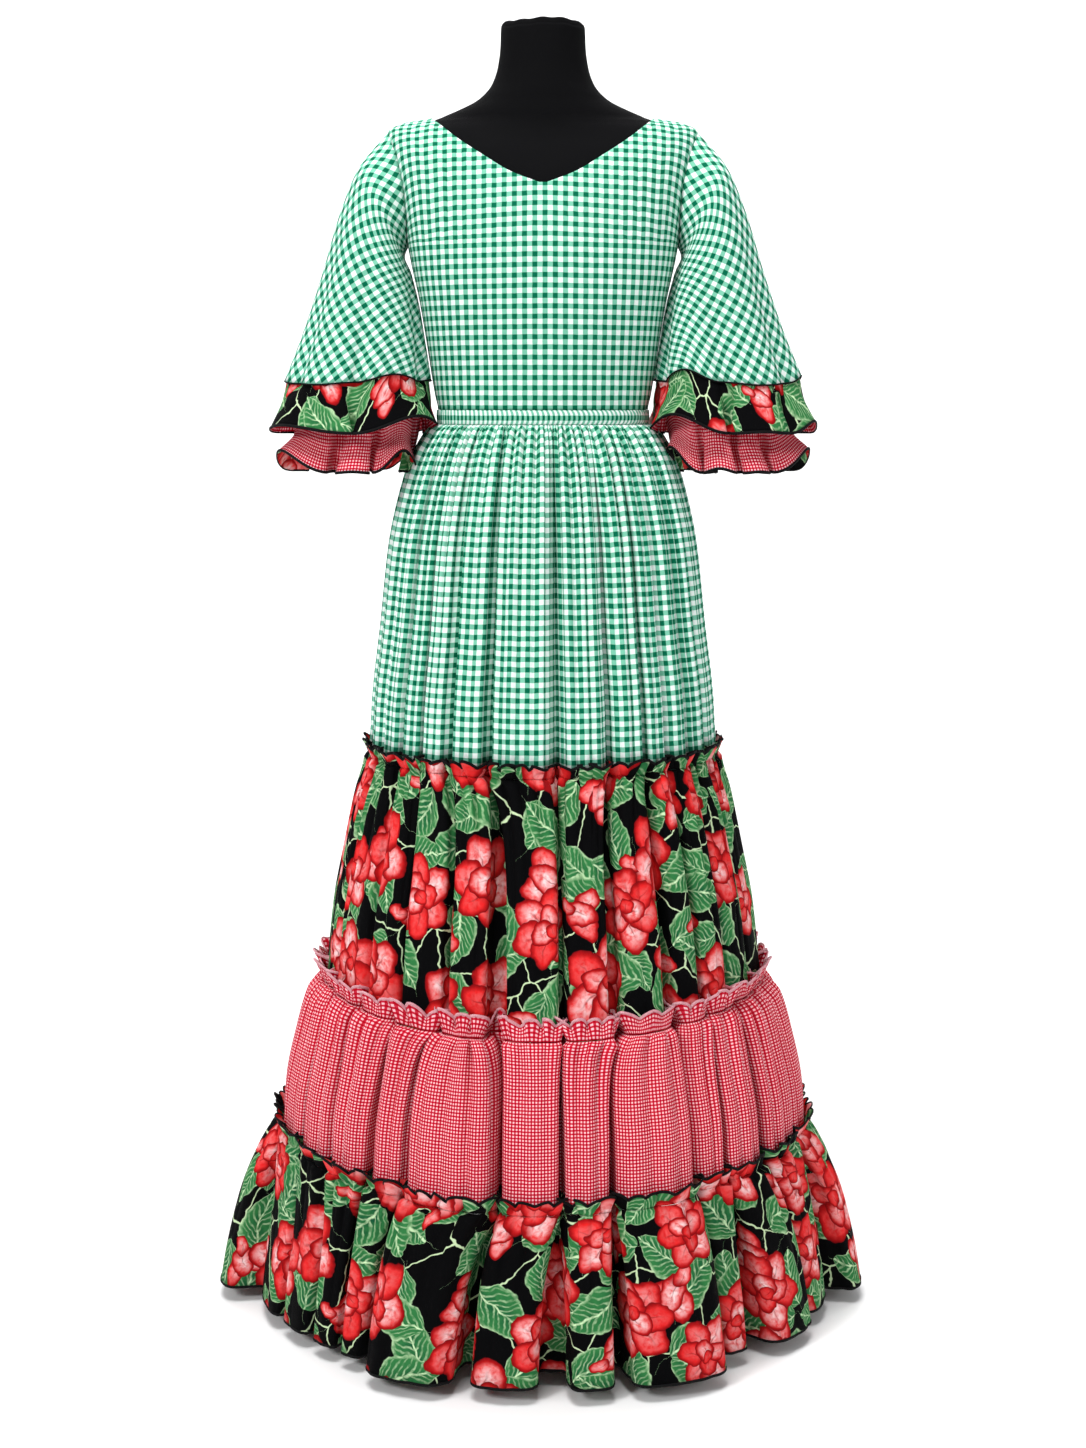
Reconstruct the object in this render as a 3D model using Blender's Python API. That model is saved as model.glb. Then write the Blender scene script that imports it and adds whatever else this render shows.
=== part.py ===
"""A flamenco dress on a dress form.

Metres, +Z up. The origin is the middle of the stand's underside, on the floor. The front of
the dress faces -Y and the wearer's left is +X. Cloth pieces are walls of one thickness, worked
out as rings of points from the waist, seam and hem sizes and from one table of folds.
"""

import math
from collections import namedtuple

import bmesh
import bpy
import numpy as np

# Walls and gaps
CLOTH = 0.0013
CASING_WALL = 0.002
SEAM = 0.0003

# Heights of the seams above the floor, and how far each hangs lower in front and behind
SKIRT_TOP = 1.1846
CASING_TOP = 1.2032
BODICE_BOTTOM = 1.2035
TIER_BOTTOMS = (0.755, 0.457, 0.256, 0.022)
TIER_DROOPS = (0.003, 0.018, 0.020, 0.0)
HEADINGS = (0.0, 0.014, 0.020, 0.015)

# Rows of each tier, as shares of its height below its gathering line
TIER_ROWS = (
    (0.0, 0.07, 0.24, 0.6, 1.0),
    (0.09, 0.45, 1.0),
    (0.1, 0.48, 1.0),
    (0.1, 0.48, 1.0),
)
# How far the folds of each of those rows have grown, and how round the lobes between them are:
# a lower power makes a lobe flatter on top and its valleys narrower
FOLD_GROWTH = (
    (0.0, 0.5, 0.8, 1.0, 1.0),
    (0.35, 0.9, 1.0),
    (0.45, 0.9, 1.0),
    (0.12, 0.55, 1.0),
)
LOBE_POWER = (0.9, 0.62, 0.55, 0.6)
SLEEVE_LOBE_POWER = 0.75

# Outer half-width and half-depth of the skirt at each height
SkirtSection = namedtuple("SkirtSection", "height half_width half_depth")
SKIRT_SECTIONS = (
    SkirtSection(0.022, 0.405, 0.372),
    SkirtSection(0.067, 0.399, 0.370),
    SkirtSection(0.138, 0.385, 0.364),
    SkirtSection(0.202, 0.370, 0.357),
    SkirtSection(0.236, 0.360, 0.350),
    SkirtSection(0.256, 0.353, 0.345),
    SkirtSection(0.314, 0.347, 0.338),
    SkirtSection(0.377, 0.332, 0.324),
    SkirtSection(0.432, 0.313, 0.307),
    SkirtSection(0.457, 0.292, 0.289),
    SkirtSection(0.504, 0.286, 0.281),
    SkirtSection(0.560, 0.279, 0.274),
    SkirtSection(0.630, 0.264, 0.260),
    SkirtSection(0.697, 0.248, 0.245),
    SkirtSection(0.755, 0.229, 0.226),
    SkirtSection(0.835, 0.223, 0.213),
    SkirtSection(0.918, 0.212, 0.196),
    SkirtSection(1.031, 0.198, 0.173),
    SkirtSection(1.091, 0.184, 0.156),
    SkirtSection(1.141, 0.167, 0.136),
    SkirtSection(1.172, 0.148, 0.114),
    SkirtSection(SKIRT_TOP, 0.1372, 0.1012),
)

# One row a fold, round from the wearer's right: the angle of its valley from the centre front
# at the lower edge of each tier (degrees), the valley's depth there, and how far the lobe
# after it stands back from the skirt's outline at the lower edges of tiers 3 and 4 (mm)
Fold = namedtuple(
    "Fold", "angle_1 angle_2 angle_3 angle_4 depth_1 depth_2 depth_3 depth_4 back_3 back_4"
)
FOLDS = (
    Fold(-81.0, -83.0, -83.0, -83.0, 4, 12, 20, 34, 2, 20),
    Fold(-67.0, -69.0, -65.0, -66.0, 5, 11, 14, 36, 4, 26),
    Fold(-54.0, -52.0, -51.0, -53.5, 7, 16, 24, 48, 3, 28),
    Fold(-44.0, -39.5, -40.5, -44.5, 6, 17, 24, 44, 6, 26),
    Fold(-32.7, -25.4, -30.0, -36.0, 11, 21, 36, 78, 0, -5),
    Fold(-18.9, -11.9, -9.4, -15.5, 13, 24, 38, 68, 0, 6),
    Fold(4.8, 4.9, 3.8, 1.8, 14, 21, 33, 58, 2, 2),
    Fold(22.7, 18.9, 14.6, 15.0, 13, 21, 36, 64, 0, -8),
    Fold(35.5, 34.3, 33.9, 37.3, 9, 20, 38, 56, 12, 34),
    Fold(44.5, 44.8, 43.0, 47.9, 7, 15, 20, 80, 8, 12),
    Fold(55.5, 56.0, 56.0, 67.4, 7, 17, 27, 50, 4, 18),
    Fold(68.0, 69.5, 72.0, 82.5, 5, 12, 20, 30, 0, -32),
    Fold(84.0, 88.0, 92.0, 103.0, 5, 13, 21, 34, 3, 22),
    Fold(98.0, 102.0, 106.0, 115.0, 8, 17, 27, 50, 5, 14),
    Fold(113.0, 116.0, 120.0, 127.0, 11, 20, 33, 64, 4, 25),
    Fold(129.0, 131.0, 134.0, 140.0, 7, 14, 20, 40, 0, -4),
    Fold(145.0, 147.0, 148.0, 152.5, 12, 21, 34, 66, 3, 10),
    Fold(161.0, 163.0, 165.0, 167.5, 13, 22, 36, 72, 0, 0),
    Fold(177.0, 178.0, 179.0, 181.0, 8, 16, 24, 46, 4, 16),
    Fold(192.0, 192.0, 193.0, 194.5, 12, 21, 34, 66, 0, -6),
    Fold(207.0, 208.0, 208.0, 210.0, 10, 18, 30, 58, 3, 12),
    Fold(222.0, 223.0, 222.5, 222.0, 8, 15, 22, 42, 6, 27),
    Fold(240.0, 240.0, 239.0, 237.0, 9, 18, 29, 60, 4, 20),
    Fold(259.0, 259.0, 257.0, 254.0, 5, 12, 20, 34, 0, -39),
)
# Where the columns of a fold stand between its valley (0) and the next one (1)
FRONT_STEPS = (0.0, 0.16, 0.38, 0.62, 0.84)
BACK_STEPS = (0.0, 0.2, 0.5, 0.8)
FRONT_FOLDS = 12
# A lobe overhangs its valleys by this share of their depth
LOBE_BULGE = 0.12
# A heading frill waves once in this many columns and stands out this far at most
HEADING_WAVE = 6
HEADING_FLARE = 0.0065
HEADING_SHARE = 0.25

# Bodice: outer half-width and the half-depths in front and behind at each height
BodiceSection = namedtuple("BodiceSection", "height half_width front back")
BODICE_SECTIONS = (
    BodiceSection(1.1800, 0.1365, 0.1005, 0.0965),
    BodiceSection(1.2040, 0.1367, 0.1007, 0.0966),
    BodiceSection(1.2200, 0.1400, 0.1040, 0.0970),
    BodiceSection(1.2500, 0.1450, 0.1075, 0.0985),
    BodiceSection(1.2900, 0.1510, 0.1130, 0.1005),
    BodiceSection(1.3440, 0.1600, 0.1195, 0.1040),
    BodiceSection(1.3900, 0.1700, 0.1205, 0.1080),
    BodiceSection(1.4110, 0.1740, 0.1185, 0.1090),
    BodiceSection(1.4500, 0.1810, 0.1125, 0.1080),
    BodiceSection(1.4900, 0.1890, 0.1015, 0.1000),
    BodiceSection(1.5250, 0.1965, 0.0845, 0.0860),
    BodiceSection(1.5450, 0.1990, 0.0720, 0.0740),
    BodiceSection(1.5560, 0.1990, 0.0670, 0.0690),
    BodiceSection(1.5650, 0.1840, 0.0640, 0.0660),
    BodiceSection(1.5695, 0.1660, 0.0625, 0.0645),
    BodiceSection(1.5720, 0.1435, 0.0620, 0.0640),
)
# How square a section of the torso is at each height: 2 is an ellipse, less is pointed at the
# sides
SQUARENESS = (
    (1.25, 2.0),
    (1.37, 2.4),
    (1.525, 2.3),
    (1.545, 2.1),
    (1.556, 1.8),
    (1.565, 1.55),
    (1.60, 2.0),
)
UNDERARM = 1.411
SHOULDER_POINT = 1.556
NECK_POINT = 1.572
BODICE_ROWS = (
    BODICE_BOTTOM,
    1.262,
    1.336,
    UNDERARM,
    1.447,
    1.487,
    1.522,
    1.545,
    SHOULDER_POINT,
    1.566,
    NECK_POINT,
)
BODICE_COLUMNS = 16
# Each edge line: distance from the centre line and height
FRONT_NECKLINE = (
    (0.0, 1.482),
    (0.040, 1.4975),
    (0.0725, 1.5176),
    (0.1066, 1.541),
    (0.1435, NECK_POINT),
)
BACK_NECKLINE = (
    (0.0, 1.530),
    (0.050, 1.5345),
    (0.095, 1.549),
    (0.1250, 1.563),
    (0.1435, NECK_POINT),
)
NECKLINE_HALVINGS = 40
# The armhole's edge: height and distance from the centre line
ARMHOLE_EDGE = (
    (UNDERARM, 0.1740),
    (1.447, 0.1735),
    (1.487, 0.1775),
    (1.522, 0.1860),
    (SHOULDER_POINT, 0.1990),
)
CASING_SIDES = 48

# Sleeve: its outer and inner points seen from the front, and its half-depth
SleeveRing = namedtuple("SleeveRing", "outer_x outer_z inner_x inner_z half_depth")
SLEEVE_RINGS = (
    SleeveRing(0.2327, 1.5160, 0.1785, 1.3980, 0.066),
    SleeveRing(0.2600, 1.4560, 0.1740, 1.3780, 0.074),
    SleeveRing(0.2855, 1.3740, 0.1680, 1.3420, 0.081),
    SleeveRing(0.3125, 1.2950, 0.1580, 1.2850, 0.087),
    SleeveRing(0.3360, 1.2360, 0.1500, 1.2400, 0.092),
)
# One row a wave of the sleeve's hem and ruffles: the angle of its valley round the sleeve
# from the outer edge towards the front (degrees), and how deep it is beside the deepest
SleeveWave = namedtuple("SleeveWave", "angle depth")
LEFT_WAVES = (
    SleeveWave(-22, 0.80),
    SleeveWave(33, 0.90),
    SleeveWave(84, 1.00),
    SleeveWave(131, 0.75),
    SleeveWave(180, 0.60),
    SleeveWave(232, 0.95),
    SleeveWave(287, 0.85),
)
RIGHT_WAVES = (
    SleeveWave(-30, 0.75),
    SleeveWave(26, 0.85),
    SleeveWave(72, 1.00),
    SleeveWave(122, 0.90),
    SleeveWave(176, 0.60),
    SleeveWave(228, 0.80),
    SleeveWave(280, 0.95),
)
SLEEVE_STEPS = (0.0, 0.18, 0.4, 0.6, 0.82)
# Depth of the waves at each ring of the sleeve, and how much higher its hem is in front
SLEEVE_WAVE_DEPTHS = (0.0, 0.002, 0.004, 0.007, 0.010)
SLEEVE_LIFT = 0.008
# Each ruffle of the sleeve: its rings below the sleeve's hem, the depth of its waves there
# and how much higher it is in front than at the side
RuffleRing = namedtuple("RuffleRing", "outer_x inner_x height half_depth wave lift")
FLORAL_RUFFLE = (
    RuffleRing(0.3430, 0.1400, 1.2120, 0.098, 0.016, 0.009),
    RuffleRing(0.3570, 0.1290, 1.1810, 0.108, 0.024, 0.012),
)
RED_RUFFLE = (
    RuffleRing(0.3290, 0.1520, 1.2120, 0.086, 0.013, 0.009),
    RuffleRing(0.3350, 0.1560, 1.1720, 0.090, 0.021, 0.012),
    RuffleRing(0.3470, 0.1580, 1.1310, 0.099, 0.029, 0.016),
)
# A ruffle starts this share of a ring's distance above the sleeve's hem, and each one lies
# this far inside the cloth before it
RUFFLE_TOP = 0.2
RUFFLE_INSET = 0.0022
SIDE_CLEARANCE = 0.003

# Dress form: half-width and the half-depths in front and behind at each height
FORM_SECTIONS = (
    BodiceSection(0.8400, 0.130, 0.082, 0.086),
    BodiceSection(0.8440, 0.152, 0.100, 0.106),
    BodiceSection(0.8560, 0.162, 0.108, 0.116),
    BodiceSection(0.9200, 0.169, 0.113, 0.124),
    BodiceSection(0.9900, 0.168, 0.114, 0.124),
    BodiceSection(1.0800, 0.151, 0.106, 0.108),
    BodiceSection(1.1500, 0.1365, 0.0985, 0.0965),
    BodiceSection(1.1800, 0.1342, 0.0982, 0.0942),
    BodiceSection(1.2060, 0.1342, 0.0982, 0.0942),
    BodiceSection(1.2500, 0.1390, 0.1020, 0.0950),
    BodiceSection(1.3100, 0.1475, 0.1120, 0.0985),
    BodiceSection(1.3700, 0.1570, 0.1170, 0.1030),
    BodiceSection(1.4110, 0.1640, 0.1145, 0.1050),
    BodiceSection(1.4500, 0.1690, 0.1080, 0.1035),
    BodiceSection(1.4900, 0.1760, 0.0965, 0.0950),
    BodiceSection(1.5250, 0.1850, 0.0790, 0.0805),
    BodiceSection(1.5440, 0.1895, 0.0665, 0.0680),
    BodiceSection(1.5548, 0.1885, 0.0615, 0.0630),
    BodiceSection(1.5630, 0.1760, 0.0590, 0.0605),
    BodiceSection(1.5675, 0.1600, 0.0580, 0.0600),
    BodiceSection(1.5700, 0.1400, 0.0575, 0.0595),
    BodiceSection(1.5765, 0.1230, 0.0570, 0.0590),
    BodiceSection(1.5840, 0.1050, 0.0560, 0.0580),
    BodiceSection(1.5930, 0.0865, 0.0550, 0.0570),
    BodiceSection(1.6030, 0.0740, 0.0545, 0.0560),
    BodiceSection(1.6150, 0.0650, 0.0535, 0.0545),
    BodiceSection(1.6350, 0.0580, 0.0520, 0.0530),
    BodiceSection(1.6600, 0.0545, 0.0510, 0.0520),
    BodiceSection(1.6850, 0.0535, 0.0500, 0.0510),
    BodiceSection(1.6920, 0.0505, 0.0470, 0.0480),
)
FORM_SIDES = 24

# Stand
# Radius and height along the disc's profile, from its underside up to the pole's collar
BASE_PROFILE = (
    (0.1900, 0.0),
    (0.1930, 0.004),
    (0.1900, 0.010),
    (0.0600, 0.016),
    (0.0340, 0.026),
    (0.0300, 0.040),
)
BASE_SIDES = 40
POLE_RADIUS = 0.014
POLE_SIDES = 20
POLE_BOTTOM = BASE_PROFILE[-1][1] + SEAM
POLE_TOP = FORM_SECTIONS[0].height - SEAM

Finish = namedtuple("Finish", "colour roughness metallic")
GREEN_CHECK = Finish((0.22, 0.62, 0.45), 0.85, 0.0)
RED_CHECK = Finish((0.67, 0.10, 0.14), 0.85, 0.0)
FLORAL = Finish((0.10, 0.03, 0.03), 0.80, 0.0)
BLACK_JERSEY = Finish((0.010, 0.010, 0.012), 0.95, 0.0)
STEEL = Finish((0.55, 0.55, 0.57), 0.30, 1.0)
BLACK_PAINT = Finish((0.02, 0.02, 0.02), 0.45, 0.0)
SHARP_ANGLE = math.radians(50)
# Where a wall is bent so far that its mitre would run away, the mitre stops at this cosine
MITRE_LIMIT = 0.6
TINY = 1e-9


def clear_scene():
    for obj in list(bpy.data.objects):
        bpy.data.objects.remove(obj, do_unlink=True)


def finish_material(name, finish):
    material = bpy.data.materials.new(name)
    material.use_nodes = True
    shader = material.node_tree.nodes["Principled BSDF"]
    shader.inputs["Base Color"].default_value = (*finish.colour, 1.0)
    shader.inputs["Roughness"].default_value = finish.roughness
    shader.inputs["Metallic"].default_value = finish.metallic
    return material


def add_solid(name, points, faces, finish):
    """One closed mesh object, with its faces turned outwards and smooth shading."""
    mesh = bpy.data.meshes.new(name)
    mesh.from_pydata([tuple(point) for point in points], [], faces)
    form = bmesh.new()
    form.from_mesh(mesh)
    bmesh.ops.recalc_face_normals(form, faces=form.faces[:])
    form.to_mesh(mesh)
    form.free()
    mesh.shade_smooth()
    mesh.set_sharp_from_angle(angle=SHARP_ANGLE)
    mesh.materials.append(finish_material(name, finish))
    obj = bpy.data.objects.new(name, mesh)
    bpy.context.scene.collection.objects.link(obj)
    return obj


def column_of(table, field):
    return np.array([getattr(row, field) for row in table])


def read_table(table, field, height):
    """The named column of a table of sections, at any height."""
    return np.interp(height, column_of(table, "height"), column_of(table, field))


def outward_normals(grid, closed):
    """Unit normals at the points of a grid of rings, and how far along them one unit of wall is."""
    if closed:
        ahead = np.roll(grid, -1, axis=1)
    else:
        ahead = np.concatenate([grid[:, 1:], grid[:, -1:]], axis=1)
    quads = grid.shape[1] if closed else grid.shape[1] - 1
    across = (ahead - grid)[:-1, :quads] + (ahead - grid)[1:, :quads]
    down = np.diff(grid, axis=0)[:, :quads] + np.diff(ahead, axis=0)[:, :quads]
    facing = np.cross(down, across)
    facing /= np.maximum(np.linalg.norm(facing, axis=2, keepdims=True), TINY**2)
    rows, columns = grid.shape[:2]
    total = np.zeros_like(grid)
    spread = np.zeros((rows, columns))
    touching = np.zeros((rows, columns))
    corners = [(r, c) for r in (0, 1) for c in (0, 1)]
    for r, c in corners:
        for q in range(quads):
            total[r : rows - 1 + r, (q + c) % columns] += facing[:, q]
    length = np.maximum(np.linalg.norm(total, axis=2, keepdims=True), TINY)
    normals = total / length
    for r, c in corners:
        for q in range(quads):
            column = (q + c) % columns
            here = normals[r : rows - 1 + r, column]
            spread[r : rows - 1 + r, column] += (here * facing[:, q]).sum(axis=1)
            touching[r : rows - 1 + r, column] += 1
    reach = 1 / np.clip(spread / touching, MITRE_LIMIT, 1.0)
    return normals, reach[:, :, None]


def wall_faces(rows, columns, closed):
    """Faces of a wall whose outer points come first and its inner points after them."""
    count = rows * columns
    quads = columns if closed else columns - 1
    faces = []
    for r in range(rows - 1):
        for c in range(quads):
            d = (c + 1) % columns
            a, b = r * columns + c, r * columns + d
            e, f = a + columns, b + columns
            faces.append((a, e, f, b))
            faces.append((a + count, b + count, f + count, e + count))
    for c in range(quads):
        d = (c + 1) % columns
        faces.append((c, d, d + count, c + count))
        low = (rows - 1) * columns
        faces.append((low + d, low + c, low + c + count, low + d + count))
    if not closed:
        for r in range(rows - 1):
            for edge in (0, columns - 1):
                a = r * columns + edge
                e = a + columns
                faces.append((a, e, e + count, a + count))
    return faces


def add_wall(name, outer, inner, finish, closed=False):
    rows, columns = outer.shape[:2]
    points = np.concatenate([outer.reshape(-1, 3), inner.reshape(-1, 3)])
    return add_solid(name, points, wall_faces(rows, columns, closed), finish)


def add_stack(name, rings, finish):
    """A closed solid through rings of points, lowest first, with a flat cap at each end."""
    rows, columns = rings.shape[:2]
    faces = [tuple(range(columns)), tuple(range((rows - 1) * columns, rows * columns))]
    for r in range(rows - 1):
        for c in range(columns):
            d = (c + 1) % columns
            a, b = r * columns + c, r * columns + d
            faces.append((a, b, b + columns, a + columns))
    return add_solid(name, rings.reshape(-1, 3), faces, finish)


def lobe_shape(share, power):
    """0 in a valley, 1 on top of a lobe."""
    return np.sin(math.pi * share) ** power


def fold_columns(tier):
    """Angle, offset from the outline and sideways shift of each column at a tier's lower edge."""
    angle, offset, shift = [], [], []
    power = LOBE_POWER[tier]
    field = tier + 1
    for i, fold in enumerate(FOLDS):
        after = FOLDS[(i + 1) % len(FOLDS)]
        start = getattr(fold, f"angle_{field}")
        end = getattr(after, f"angle_{field}")
        end += 360.0 if end < start else 0.0
        depths = getattr(fold, f"depth_{field}"), getattr(after, f"depth_{field}")
        back = getattr(fold, f"back_{field}", 0.0)
        for share in FRONT_STEPS if i < FRONT_FOLDS else BACK_STEPS:
            lobe = lobe_shape(share, power)
            depth = depths[0] + (depths[1] - depths[0]) * share
            angle.append(math.radians(start + (end - start) * share))
            offset.append(-(depth * (1 - lobe) + back * lobe) / 1000)
            shift.append(-LOBE_BULGE * depth * math.sin(2 * math.pi * share) / 1000)
    return np.array(angle), np.array(offset), np.array(shift)


def edge_height(tier, angle):
    return TIER_BOTTOMS[tier] - TIER_DROOPS[tier] * np.cos(angle) ** 2


def skirt_ring(height, angle, offset, shift):
    wide = read_table(SKIRT_SECTIONS, "half_width", height) + offset
    deep = read_table(SKIRT_SECTIONS, "half_depth", height) + offset
    x = wide * np.sin(angle) + shift * np.cos(angle)
    y = -deep * np.cos(angle) + shift * np.sin(angle)
    return np.stack([x, y, height + 0 * x], axis=-1)


def at_height(grid, values, height):
    """What is kept for each point of a grid of rings, read where its columns cross a height."""
    found = []
    for column in range(grid.shape[1]):
        levels = grid[:, column, 2]
        row = int(np.clip(np.searchsorted(-levels, -height[column]) - 1, 0, len(levels) - 2))
        share = (height[column] - levels[row]) / (levels[row + 1] - levels[row])
        found.append(values[row, column] * (1 - share) + values[row + 1, column] * share)
    return np.array(found)


def top_tier():
    angle, offset, shift = fold_columns(0)
    bottom = edge_height(0, angle)
    rows = []
    for share, growth in zip(TIER_ROWS[0], FOLD_GROWTH[0]):
        height = SKIRT_TOP + (bottom - SKIRT_TOP) * share
        rows.append(skirt_ring(height, angle, offset * growth, shift * growth))
    outer = np.array(rows)
    normals, reach = outward_normals(outer, True)
    return outer, outer - normals * reach * CLOTH, normals


def ruffled_tier(tier, above, above_normals):
    """A tier gathered onto the one above it: its heading and gathering line lie on that tier."""
    upper_angle, _, _ = fold_columns(tier - 1)
    angle, offset, shift = fold_columns(tier)
    gather = edge_height(tier - 1, upper_angle)
    bottom = edge_height(tier, angle)
    carrier = at_height(above, above, gather)
    facing = at_height(above, above_normals, gather)
    wave = 0.5 - 0.5 * np.cos(2 * math.pi * np.arange(len(angle)) / HEADING_WAVE)
    flare = HEADING_FLARE * (HEADING_SHARE + (1 - HEADING_SHARE) * wave)
    heading_height = gather + HEADINGS[tier]
    heading_carrier = at_height(above, above, heading_height)
    heading_outer = heading_carrier + facing * (CLOTH + SEAM + flare)[:, None]
    heading_inner = heading_carrier + facing * (SEAM + flare)[:, None]
    outer = [heading_outer, carrier + facing * (CLOTH + SEAM)]
    wide_there = read_table(SKIRT_SECTIONS, "half_width", gather)
    deep_there = read_table(SKIRT_SECTIONS, "half_depth", gather)
    for share, growth in zip(TIER_ROWS[tier], FOLD_GROWTH[tier]):
        height = gather + (bottom - gather) * share
        wider = read_table(SKIRT_SECTIONS, "half_width", height) - wide_there
        deeper = read_table(SKIRT_SECTIONS, "half_depth", height) - deep_there
        gathered = outer[1].copy()
        gathered[:, 0] += np.sin(upper_angle) * wider
        gathered[:, 1] -= np.cos(upper_angle) * deeper
        gathered[:, 2] = height
        full = skirt_ring(height, angle, offset, shift)
        outer.append(gathered * (1 - growth) + full * growth)
    outer = np.array(outer)
    normals, reach = outward_normals(outer, True)
    inner = outer - normals * reach * CLOTH
    inner[0] = heading_inner
    inner[1] = carrier + facing * SEAM
    return outer, inner, normals


def side_columns(points):
    """The columns nearest the wearer's right and left sides, where the panels are joined."""
    edge = points[-1]
    around = np.arctan2(edge[:, 0], -edge[:, 1])
    right = int(np.argmin(np.abs(around + math.pi / 2)))
    left = int(np.argmin(np.abs(around - math.pi / 2)))
    return right, left


def add_panels(name, outer, inner, finish):
    """Front and back panels of a tier, cut from its rings at the two side seams."""
    right, left = side_columns(outer)
    count = outer.shape[1]
    spans = {"front": (right, left), "back": (left, right)}
    for side, (first, last) in spans.items():
        columns = [(first + step) % count for step in range((last - first) % count + 1)]
        pair = []
        for grid in (outer, inner):
            panel = grid[:, columns].copy()
            for edge, neighbour in ((0, 1), (-1, -2)):
                along = panel[:, neighbour] - panel[:, edge]
                along /= np.linalg.norm(along, axis=1, keepdims=True)
                panel[:, edge] += along * SEAM / 2
            pair.append(panel)
        add_wall(f"{name}_{side}", pair[0], pair[1], finish)


def build_skirt():
    finishes = (GREEN_CHECK, FLORAL, RED_CHECK, FLORAL)
    outer, inner, normals = top_tier()
    add_panels("skirt_tier_1", outer, inner, finishes[0])
    for tier in range(1, len(TIER_BOTTOMS)):
        outer, inner, normals = ruffled_tier(tier, outer, normals)
        add_panels(f"skirt_tier_{tier + 1}", outer, inner, finishes[tier])


def squareness(height):
    return np.interp(height, *zip(*SQUARENESS))


def body_point(table, depth, height, angle):
    """A point of a torso section: angle 0 in the middle of the front or back, 90 at the side."""
    power = 2 / squareness(height)
    across = np.sign(np.sin(angle)) * np.abs(np.sin(angle)) ** power
    x = read_table(table, "half_width", height) * across
    y = read_table(table, depth, height) * np.abs(np.cos(angle)) ** power
    return np.array([x, -y if depth == "front" else y, height])


def side_limit(height):
    """The angle at which a bodice panel ends: the side seam, the armhole, then the shoulder seam."""
    if height <= UNDERARM or height >= SHOULDER_POINT:
        return math.pi / 2
    edge = np.interp(height, *zip(*ARMHOLE_EDGE))
    share = edge / read_table(BODICE_SECTIONS, "half_width", height)
    return math.asin(min(1.0, share ** (squareness(height) / 2)))


def neckline_height(depth, share):
    """Height at which a bodice column, a share of the way from centre to side, meets the neckline."""
    line = FRONT_NECKLINE if depth == "front" else BACK_NECKLINE
    low, high = line[0][1], NECK_POINT
    for _ in range(NECKLINE_HALVINGS):
        middle = (low + high) / 2
        x = body_point(BODICE_SECTIONS, depth, middle, share * side_limit(middle))[0]
        if middle < np.interp(x, *zip(*line)):
            low = middle
        else:
            high = middle
    return (low + high) / 2


def bodice_grid(depth):
    """Rows from the neckline down to the waist, and columns from the wearer's right to the left."""
    shares = [2 * c / BODICE_COLUMNS - 1 for c in range(BODICE_COLUMNS + 1)]
    if depth == "back":
        shares = shares[::-1]
    grid = []
    for mark in reversed(BODICE_ROWS):
        rise = (mark - BODICE_BOTTOM) / (NECK_POINT - BODICE_BOTTOM)
        row = []
        for share in shares:
            height = BODICE_BOTTOM + rise * (neckline_height(depth, abs(share)) - BODICE_BOTTOM)
            row.append(body_point(BODICE_SECTIONS, depth, height, share * side_limit(height)))
        grid.append(row)
    return np.array(grid)


def build_bodice():
    """Front and back, and the armhole's edge points for the sleeves."""
    edges = {}
    for depth in ("front", "back"):
        grid = bodice_grid(depth)
        normals, reach = outward_normals(grid, False)
        inner = grid - normals * reach * CLOTH
        facing = -1 if depth == "front" else 1
        for points in (grid, inner):
            for edge in (0, -1):
                points[:, edge, 1] = facing * np.maximum(facing * points[:, edge, 1], SEAM / 2)
        inner[-1, :, 2] = BODICE_BOTTOM
        add_wall(f"bodice_{depth}", grid, inner, GREEN_CHECK)
        left = grid[:, -1] if depth == "front" else grid[:, 0]
        inside = (left[:, 2] <= SHOULDER_POINT + TINY) & (left[:, 2] >= UNDERARM - TINY)
        edges[depth] = left[inside]
    return edges


def build_casing():
    angles = [2 * math.pi * step / CASING_SIDES for step in range(CASING_SIDES)]
    outer, inner = [], []
    for height in (CASING_TOP, SKIRT_TOP + SEAM):
        for ring, wall in ((outer, 0.0), (inner, CASING_WALL)):
            row = []
            for angle in angles:
                depth = "front" if math.cos(angle) > 0 else "back"
                wide = read_table(BODICE_SECTIONS, "half_width", height) - wall
                deep = read_table(BODICE_SECTIONS, depth, height) - wall
                row.append((wide * math.sin(angle), -deep * math.cos(angle), height))
            ring.append(row)
    add_wall("waist_casing", np.array(outer), np.array(inner), GREEN_CHECK, closed=True)


def wave_columns(waves):
    """Angle round the sleeve, lobe (0 to 1) and valley depth of each column."""
    angle, lobe, depth = [], [], []
    for i, wave in enumerate(waves):
        after = waves[(i + 1) % len(waves)]
        end = after.angle + (360 if after.angle < wave.angle else 0)
        for share in SLEEVE_STEPS:
            angle.append(math.radians(wave.angle + (end - wave.angle) * share))
            lobe.append(lobe_shape(share, SLEEVE_LOBE_POWER))
            depth.append(wave.depth + (after.depth - wave.depth) * share)
    return np.array(angle), np.array(lobe), np.array(depth)


def armhole_ring(edges, angle):
    """The armhole's edge, as one point for each column of the sleeve."""
    front, back = edges["front"], edges["back"]
    loop = np.concatenate([front, back[::-1][1:]])
    length = np.concatenate([[0.0], np.cumsum(np.linalg.norm(np.diff(loop, axis=0), axis=1))])
    around = np.mod(angle, 2 * math.pi) / (2 * math.pi) * length[-1]
    return np.stack([np.interp(around, length, loop[:, i]) for i in range(3)], axis=-1)


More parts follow.
